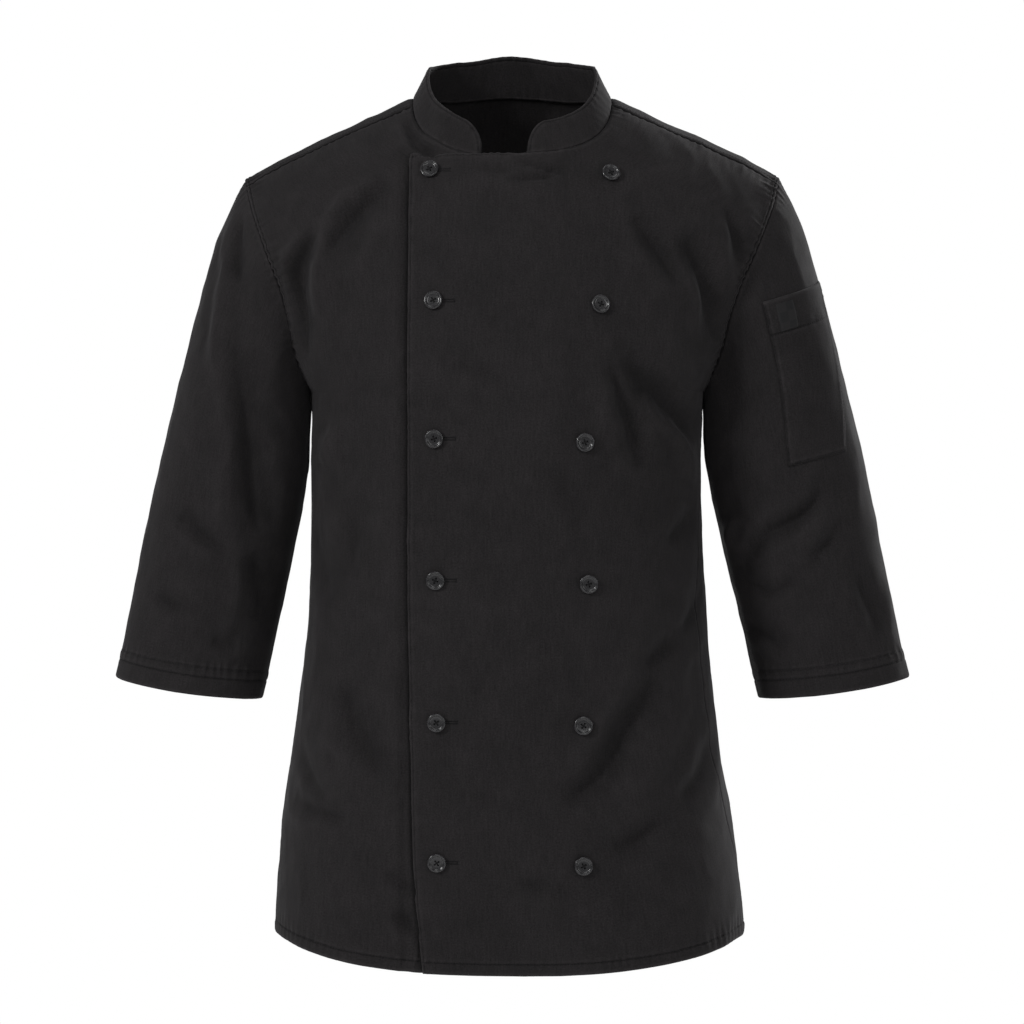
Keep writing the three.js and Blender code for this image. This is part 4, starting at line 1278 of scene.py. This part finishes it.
def cloth_material(name, dark, light, weave=0.00078, depth=0.5):
    """Matt cotton twill: diagonal ribs, slubs, faint mottling, paler edges that are partly worn and
    partly a painted highlight, and the painted light and shade of folds and seams.
    """
    material, nodes, links, shader = node_material(name)
    shader.inputs["Sheen Weight"].default_value = 0.04
    shader.inputs["Sheen Roughness"].default_value = 0.45
    shader.inputs["Sheen Tint"].default_value = (0.9, 0.88, 0.92, 1)
    shader.inputs["Specular IOR Level"].default_value = 0.16
    place = add_node(nodes, "ShaderNodeUVMap", uv_map="cloth")
    ribs = add_node(nodes, "ShaderNodeTexWave", bands_direction="DIAGONAL", Scale=0.444 / weave,
                    Distortion=1.2, Detail=2.0, Detail_Scale=0.6)
    links.new(place.outputs["UV"], ribs.inputs["Vector"])
    slub_map = add_node(nodes, "ShaderNodeMapping", Scale=(1.0, 0.12, 1.0))
    links.new(place.outputs["UV"], slub_map.inputs["Vector"])
    slubs = add_node(nodes, "ShaderNodeTexNoise", Scale=520.0, Detail=3.0, Roughness=0.65)
    links.new(slub_map.outputs["Vector"], slubs.inputs["Vector"])
    mottle = add_node(nodes, "ShaderNodeTexNoise", Scale=30.0, Detail=6.0, Roughness=0.72)
    links.new(place.outputs["UV"], mottle.inputs["Vector"])
    mild = add_node(nodes, "ShaderNodeMapRange", To_Min=0.3, To_Max=0.7)
    links.new(mottle.outputs["Fac"], mild.inputs["Value"])
    grain = add_node(nodes, "ShaderNodeTexNoise", Scale=700.0, Detail=3.0, Roughness=0.85)
    links.new(place.outputs["UV"], grain.inputs["Vector"])

    threads = add_node(nodes, "ShaderNodeMix", Factor=0.26)
    links.new(grain.outputs["Fac"], threads.inputs["A"])
    links.new(slubs.outputs["Fac"], threads.inputs["B"])

    # painted light on ridges, painted shade in folds, seams and stitch grooves, a painted highlight
    # and wear at the edges, and wear beside the stitching
    painted_shade_and_wear_node = add_node(nodes, "ShaderNodeAttribute", attribute_name="wear")
    shade = add_node(nodes, "ShaderNodeMath", operation="MULTIPLY")
    links.new(mild.outputs["Result"], shade.inputs[0])
    links.new(threads.outputs["Result"], shade.inputs[1])
    spread = add_node(nodes, "ShaderNodeMapRange", From_Min=0.17, From_Max=0.35, To_Max=0.8)
    links.new(shade.outputs["Value"], spread.inputs["Value"])
    tone = add_node(nodes, "ShaderNodeMath", operation="ADD", use_clamp=True)
    links.new(spread.outputs["Result"], tone.inputs[0])
    links.new(painted_shade_and_wear_node.outputs["Fac"], tone.inputs[1])
    colour = add_node(nodes, "ShaderNodeMix", data_type="RGBA")
    colour.inputs["A"].default_value = (*dark, 1)
    colour.inputs["B"].default_value = (*light, 1)
    links.new(tone.outputs["Value"], colour.inputs["Factor"])
    links.new(colour.outputs["Result"], shader.inputs["Base Color"])

    rough = add_node(nodes, "ShaderNodeMapRange", From_Min=0.3, From_Max=0.7, To_Min=0.78,
                     To_Max=0.95)
    links.new(mottle.outputs["Fac"], rough.inputs["Value"])
    links.new(rough.outputs["Result"], shader.inputs["Roughness"])

    height = add_node(nodes, "ShaderNodeMath", operation="MULTIPLY_ADD")
    links.new(ribs.outputs["Fac"], height.inputs[0])
    height.inputs[1].default_value = 0.6
    links.new(slubs.outputs["Fac"], height.inputs[2])
    bump = add_node(nodes, "ShaderNodeBump", Strength=depth, Distance=0.00022)
    links.new(height.outputs["Value"], bump.inputs["Height"])
    links.new(bump.outputs["Normal"], shader.inputs["Normal"])
    return material


def thread_material():
    """Spun polyester thread, a little glossier than the cloth."""
    material, nodes, links, shader = node_material("black_thread")
    shader.inputs["Specular IOR Level"].default_value = 0.15
    place = add_node(nodes, "ShaderNodeTexCoord")
    fibres = add_node(nodes, "ShaderNodeTexNoise", Scale=2600.0, Detail=2.0)
    links.new(place.outputs["Object"], fibres.inputs["Vector"])
    colour = add_node(nodes, "ShaderNodeMix", data_type="RGBA")
    colour.inputs["A"].default_value = (0.004, 0.004, 0.005, 1)
    colour.inputs["B"].default_value = (0.010, 0.0095, 0.010, 1)
    links.new(fibres.outputs["Fac"], colour.inputs["Factor"])
    links.new(colour.outputs["Result"], shader.inputs["Base Color"])
    rough = add_node(nodes, "ShaderNodeMapRange", To_Min=0.5, To_Max=0.75)
    links.new(fibres.outputs["Fac"], rough.inputs["Value"])
    links.new(rough.outputs["Result"], shader.inputs["Roughness"])
    bump = add_node(nodes, "ShaderNodeBump", Strength=0.5, Distance=0.00008)
    links.new(fibres.outputs["Fac"], bump.inputs["Height"])
    links.new(bump.outputs["Normal"], shader.inputs["Normal"])
    return material


def button_material():
    """Polished black resin with faint clouding and fine scuffs."""
    material, nodes, links, shader = node_material("black_resin")
    shader.inputs["Specular IOR Level"].default_value = 0.5
    shader.inputs["Coat Weight"].default_value = 0.2
    shader.inputs["Coat Roughness"].default_value = 0.08
    place = add_node(nodes, "ShaderNodeTexCoord")
    clouds = add_node(nodes, "ShaderNodeTexNoise", Scale=190.0, Detail=4.0, Distortion=1.2)
    links.new(place.outputs["Object"], clouds.inputs["Vector"])
    scuffs = add_node(nodes, "ShaderNodeTexNoise", Scale=1500.0, Detail=3.0)
    links.new(place.outputs["Object"], scuffs.inputs["Vector"])
    colour = add_node(nodes, "ShaderNodeMix", data_type="RGBA")
    colour.inputs["A"].default_value = (0.008, 0.008, 0.009, 1)
    colour.inputs["B"].default_value = (0.020, 0.019, 0.021, 1)
    links.new(clouds.outputs["Fac"], colour.inputs["Factor"])
    links.new(colour.outputs["Result"], shader.inputs["Base Color"])
    rough = add_node(nodes, "ShaderNodeMapRange", From_Min=0.3, From_Max=0.7, To_Min=0.16,
                     To_Max=0.34)
    links.new(scuffs.outputs["Fac"], rough.inputs["Value"])
    links.new(rough.outputs["Result"], shader.inputs["Roughness"])
    bump = add_node(nodes, "ShaderNodeBump", Strength=0.2, Distance=0.00006)
    links.new(scuffs.outputs["Fac"], bump.inputs["Height"])
    links.new(bump.outputs["Normal"], shader.inputs["Normal"])
    return material


def label_material():
    """Woven label: fine black satin with a faint tonal check."""
    material, nodes, links, shader = node_material("woven_label")
    shader.inputs["Sheen Weight"].default_value = 0.05
    shader.inputs["Specular IOR Level"].default_value = 0.2
    place = add_node(nodes, "ShaderNodeUVMap", uv_map="cloth")
    check = add_node(nodes, "ShaderNodeTexChecker", Scale=112.0)
    links.new(place.outputs["UV"], check.inputs["Vector"])
    ribs = add_node(nodes, "ShaderNodeTexWave", bands_direction="Y", Scale=900.0)
    links.new(place.outputs["UV"], ribs.inputs["Vector"])
    check.inputs["Color1"].default_value = (0.008, 0.008, 0.009, 1)
    check.inputs["Color2"].default_value = (0.0115, 0.011, 0.0118, 1)
    links.new(check.outputs["Color"], shader.inputs["Base Color"])
    rough = add_node(nodes, "ShaderNodeMapRange", To_Min=0.5, To_Max=0.7)
    links.new(ribs.outputs["Fac"], rough.inputs["Value"])
    links.new(rough.outputs["Result"], shader.inputs["Roughness"])
    bump = add_node(nodes, "ShaderNodeBump", Strength=0.4, Distance=0.0001)
    links.new(ribs.outputs["Fac"], bump.inputs["Height"])
    links.new(bump.outputs["Normal"], shader.inputs["Normal"])
    return material


# ---------------------------------------------------------------- stage

def floor():
    mesh = bpy.data.meshes.new("floor")
    ring = [(FLOOR_RADIUS * math.cos(a), FLOOR_RADIUS * math.sin(a), FLOOR_HEIGHT)
            for a in np.linspace(0, 2 * math.pi, 64, endpoint=False)]
    mesh.from_pydata(ring, [], [tuple(range(64))])
    material, _, _, shader = node_material("floor_paint")
    shader.inputs["Base Color"].default_value = (0.9, 0.9, 0.9, 1)
    shader.inputs["Roughness"].default_value = 0.9
    mesh.materials.append(material)
    piece = bpy.data.objects.new("floor", mesh)
    bpy.context.scene.collection.objects.link(piece)


def soft_light(name, at, aim, size, watts):
    data = bpy.data.lights.new(name, "AREA")
    data.shape = "RECTANGLE"
    data.size, data.size_y = size
    data.energy = watts
    lamp = bpy.data.objects.new(name, data)
    lamp.location = at
    lamp.rotation_euler = (Vector(aim) - Vector(at)).to_track_quat("-Z", "Y").to_euler()
    bpy.context.scene.collection.objects.link(lamp)


def light_and_camera():
    scene = bpy.context.scene
    world = bpy.data.worlds.new("studio")
    world.use_nodes = True
    background = world.node_tree.nodes["Background"]
    background.inputs["Color"].default_value = (1, 1, 1, 1)
    seen = world.node_tree.nodes.new("ShaderNodeLightPath")
    strength = add_node(world.node_tree.nodes, "ShaderNodeMapRange", To_Min=WORLD_LIGHT, To_Max=1.0)
    world.node_tree.links.new(seen.outputs["Is Camera Ray"], strength.inputs["Value"])
    world.node_tree.links.new(strength.outputs["Result"], background.inputs["Strength"])
    scene.world = world
    for name, at, size, watts in LIGHTS:
        soft_light(name, at, (0, 0, -0.35), size, watts)
    data = bpy.data.cameras.new("camera")
    data.sensor_width = 36
    data.lens = data.sensor_width * -CAMERA_AT[1] / CAMERA_WIDTH
    camera = bpy.data.objects.new("camera", data)
    camera.location = CAMERA_AT
    camera.rotation_euler = (math.pi / 2, 0, 0)
    scene.collection.objects.link(camera)
    scene.camera = camera
    scene.view_settings.view_transform = "Standard"


# ---------------------------------------------------------------- the jacket

def body_panels():
    fronts = {side: front_grids(side) for side in (1, -1)}
    halves, middle = back_grids()
    panels = {}
    armhole_front, armhole_back = {}, {}
    for side, name in ((1, "front_left"), (-1, "front_right")):
        lap, beside = fronts[side]
        low = len(BELOW)
        armhole_front[side] = beside[low - 1:, -1]
        edges = {
            "lap": lap[:, 0],
            "lap_top": lap[-1][lap[-1][:, 0] * side <= 0],
            "hem": np.vstack([lap[0], beside[0]]),
            "side": beside[:low, -1],
            "armhole": beside[low - 1:, -1],
            "shoulder": beside[-1],
            "neck": np.vstack([lap[-1][lap[-1][:, 0] * side >= 0],
                               beside[len(BELOW) + len(FRONT_ABOVE):, 0]]),
        }
        seams = {"lap": "edge", "lap_top": "edge", "hem": "hem", "side": "plain",
                 "armhole": "armhole", "shoulder": "under", "neck": "under"}
        if side < 0:
            edges["under_lap"] = fronts[1][0][:, 0]
        grids = [lap, beside] if side > 0 else [lap[:, ::-1], beside[:, ::-1]]
        panels[name] = Panel(name, grids, edges, seams)
    low = len(BELOW)
    nape_row = low + len(BACK_ABOVE)
    edges = {}
    for side, word in ((1, "left"), (-1, "right")):
        half = halves[side]
        armhole_back[side] = half[low - 1:, -1]
        edges["side_" + word] = half[:low, -1]
        edges["armhole_" + word] = half[low - 1:, -1]
        edges["shoulder_" + word] = half[-1]
    edges["hem"] = np.vstack([halves[1][0][::-1], middle[0], halves[-1][0]])
    edges["neck"] = np.vstack([halves[1][nape_row:, 0][::-1], middle[-1], halves[-1][nape_row:, 0]])
    seams = {"hem": "hem", "neck": "under", "side_left": "plain", "side_right": "plain",
             "armhole_left": "armhole", "armhole_right": "armhole",
             "shoulder_left": "shoulder", "shoulder_right": "shoulder"}
    grids = [halves[1][:, ::-1], middle, halves[-1]]
    panels["back"] = Panel("back", grids, edges, seams)
    rings = {
        side: np.vstack([armhole_front[side], armhole_back[side][::-1][1:-1]])
        for side in (1, -1)
    }
    return panels, rings


def sleeve_panel(name, side, ring):
    grid = sleeve_grid(side, ring)
    edges = {"armhole": np.vstack([ring, ring[:1]]), "cuff": grid[-1]}
    seams = {"armhole": "under", "cuff": "cuff"}
    if side > 0:
        grid = grid[:, ::-1]
    return Panel(name, [grid], edges, seams)


def neckline(panels):
    """The neckline from the wearer's right lap edge round the nape to the left lap edge."""
    def front(name, side):
        panel = panels[name]
        order = slice(None) if side > 0 else slice(None, None, -1)
        lap, beside = panel.index[0][:, order], panel.index[1][:, order]
        rows = beside[len(BELOW) + len(FRONT_ABOVE):, 0]
        return panel.points[np.concatenate([lap[-1], rows])]

    back = panels["back"]
    nape_row = len(BELOW) + len(BACK_ABOVE) - 1
    left, middle, right = back.index
    over_left = back.points[left[nape_row + 1:-1, -1]]
    over_right = back.points[right[nape_row + 1:-1, 0]]
    nape = back.points[middle[nape_row]]
    return np.vstack([
        front("front_right", -1), over_right[::-1], nape[::-1], over_left,
        front("front_left", 1)[::-1],
    ])


def place_at_x(line, run, x, low, high):
    """Distance along the neckline at which it passes x, between two shares of its length."""
    inside = np.flatnonzero((run >= low * run[-1]) & (run <= high * run[-1]))
    return run[inside[np.argmin(np.abs(line[inside, 0] - x))]]


def collar_panel(line):
    run = lengths(line)
    start = place_at_x(line, run, COLLAR_END_RIGHT, 0, 0.3)
    stop = place_at_x(line, run, COLLAR_END_LEFT, 0.7, 1)
    length = stop - start
    columns = marks(length, 1.6)
    rows = marks(COLLAR_BACK, 2.0, [(0, 3), (COLLAR_BACK - 5, COLLAR_BACK)], 0.8)
    foot = resampled(smoothed(line), lerp(stop, start, columns))
    from_end = np.minimum(columns, 1 - columns) * length
    full = lerp(COLLAR_FRONT, COLLAR_BACK, smoothstep(foot[:, 1], COLLAR_RISE_FROM, COLLAR_RISE_TO))
    end = rounded(1 - np.minimum(from_end / COLLAR_END_ROUND, 1), 2)
    rise = full * np.maximum(end, COLLAR_END_LEAST) * rows[:, None]
    inward = unit(-foot * (1, 1, 0))
    grid = foot + inward * (COLLAR_LEAN * rise / COLLAR_BACK)[..., None]
    grid[..., 2] += rise + COLLAR_LIFT
    edges = {"top": np.vstack([grid[:, 0], grid[-1], grid[::-1, -1]]), "foot": grid[0]}
    return Panel("collar", [grid], edges, {"top": "collar", "foot": "foot"})


def smoothed(line):
    """The same line with the small steps between panels evened out."""
    run = lengths(line)
    at = np.linspace(0, run[-1], 420)
    dense = resampled(line, at)
    kernel = np.exp(-np.linspace(-2, 2, 9) ** 2)
    kernel /= kernel.sum()
    padded = np.vstack([np.repeat(dense[:1], 4, 0), dense, np.repeat(dense[-1:], 4, 0)])
    return np.stack([np.convolve(padded[:, i], kernel, "valid") for i in range(3)], axis=1)


def patch_grid(tree, place, rows, columns, lift):
    """Points of a patch on the wearer's left sleeve, found on its cloth and moved out."""
    grid = np.zeros((len(rows), len(columns), 3))
    for i, up in enumerate(rows):
        for j, across in enumerate(columns):
            z, turn = place(across, up)
            middle = float(sleeve_section(1, z)[0])
            out = Vector((math.cos(turn), -math.sin(turn), 0))
            hit = tree.ray_cast(Vector((middle, 0, z)) + out * 150, -out)[0]
            grid[i, j] = hit + out * lift
    return grid


def pocket_place(across, up):
    """Height and turn of a place on the pocket, by its shares across and up."""
    ends = [
        lerp(np.array(POCKET[level]["fore"], float), np.array(POCKET[level]["rear"]), across)
        for level in ("bottom", "top")
    ]
    z, turn = lerp(ends[0], ends[1], up)
    return float(z), math.radians(turn)


def label_place(across, up):
    below = LABEL["below"] + (1 - up) * LABEL["height"]
    return pocket_place(LABEL["from"] + across * LABEL["width"], 1 - below)


def patch_panel(name, tree, place, columns, rows, lift, seams):
    grid = patch_grid(tree, place, rows, columns, lift)
    edges = {"sides": np.vstack([grid[::-1, 0], grid[0], grid[:, -1]]), "top": grid[-1]}
    return Panel(name, [grid], edges, seams)


def pocket_panel(tree):
    columns = marks(POCKET_WIDTH, COARSE, [(0, POCKET_EDGE), last_part(POCKET_WIDTH, POCKET_EDGE)])
    hem = tuple(POCKET_HEIGHT - below for below in reversed(POCKET_HEM))
    zones = [(0, POCKET_EDGE), hem, last_part(POCKET_HEIGHT, POCKET_TOP)]
    return patch_panel("sleeve_pocket", tree, pocket_place, columns,
                       marks(POCKET_HEIGHT, COARSE, zones), POCKET_LIFT + POCKET_CLOTH,
                       {"sides": "patch", "top": "pocket_hem"})


def label_panel(tree):
    return patch_panel("pocket_label", tree, label_place, marks(LABEL_WIDTH, LABEL_STEP),
                       marks(LABEL_HEIGHT, LABEL_STEP), LABEL_CLOTH + LABEL_LIFT,
                       {"sides": "label", "top": "label"})


def dimple_under_buttons(panel, normals):
    """Draws the cloth in a little where each button is sewn on."""
    for x, z in button_places().values():
        away = np.hypot(panel.base[:, 0] - x, panel.base[:, 2] - z)
        in_front = panel.base[:, 1] < 0
        panel.points -= normals * (DIMPLE * np.exp(-(away / DIMPLE_WIDTH) ** 2) * in_front)[:, None]


def body_and_sleeves():
    """The panels of the body and sleeves with their folds and seams, and their normals."""
    panels, rings = body_panels()
    panels["sleeve_left"] = sleeve_panel("sleeve_left", 1, rings[1])
    panels["sleeve_right"] = sleeve_panel("sleeve_right", -1, rings[-1])
    everything = list(panels.values())
    for panel, normals in zip(everything, shared_normals(everything)):
        folds = SLEEVE_FOLDS if panel.name.startswith("sleeve") else BODY_FOLDS
        armholes = [name for name in panel.edges if name.startswith("armhole")]
        apply_folds(panel, normals, folds, armholes)
        if panel.name == "front_right":
            tuck_under_lap(panel, normals)
        if panel.name == "front_left":
            dimple_under_buttons(panel, normals)
    for panel, normals in zip(everything, shared_normals(everything)):
        apply_seams(panel, normals)
    return panels, dict(zip(panels, shared_normals(everything)))


def lone_panel(panel):
    """Seams of a panel that meets no other edge to edge, and its normals."""
    normals = own_normals(panel.points, panel.quads)
    apply_seams(panel, normals)
    return own_normals(panel.points, panel.quads)


def collar_inside(collar, thread):
    """Stitching that shows on the inner face of the collar."""
    stitches = Stitches()
    for edge, distance in (("top", 2.4), ("foot", 3.0)):
        line, normals = seam_line(collar, edge, distance)
        stitches_along(stitches, line - normals * (COLLAR_CLOTH + 0.1), -normals)
    return stitches.piece("collar_inner_stitches", thread)


def add_cloth(panel, normals, wall, material):
    piece = panel_object(panel, normals, wall, material)
    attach(piece, "root")
    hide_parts(panel.name)
    return piece


def main():
    twill = cloth_material("black_twill", CLOTH_DARK, CLOTH_LIGHT)
    thread = thread_material()
    panels, normals = body_and_sleeves()
    extras = {}
    for name, panel in panels.items():
        wall = thickness_of(panel)
        add_cloth(panel, normals[name], wall, twill)
        extras[name] = [sewn(panel, thread)]

    collar = collar_panel(neckline(panels))
    wall = np.full(len(collar.points), COLLAR_CLOTH)
    add_cloth(collar, lone_panel(collar), wall, twill)
    extras["collar"] = [sewn(collar, thread), collar_inside(collar, thread)]

    pocket = pocket_panel(surface_tree(panels["sleeve_left"]))
    wall = np.full(len(pocket.points), POCKET_CLOTH)
    add_cloth(pocket, lone_panel(pocket), wall, twill)
    extras["sleeve_pocket"] = [sewn(pocket, thread)]

    label = label_panel(surface_tree(pocket))
    wall = np.full(len(label.points), LABEL_CLOTH)
    add_cloth(label, lone_panel(label), wall, label_material())
    extras["pocket_label"] = [sewn(label, thread)]

    lap = surface_tree(panels["front_left"])
    add_buttons(lap, button_material(), thread)
    extras["front_left"].append(add_buttonholes(lap, thread))
    floor()
    light_and_camera()


main()
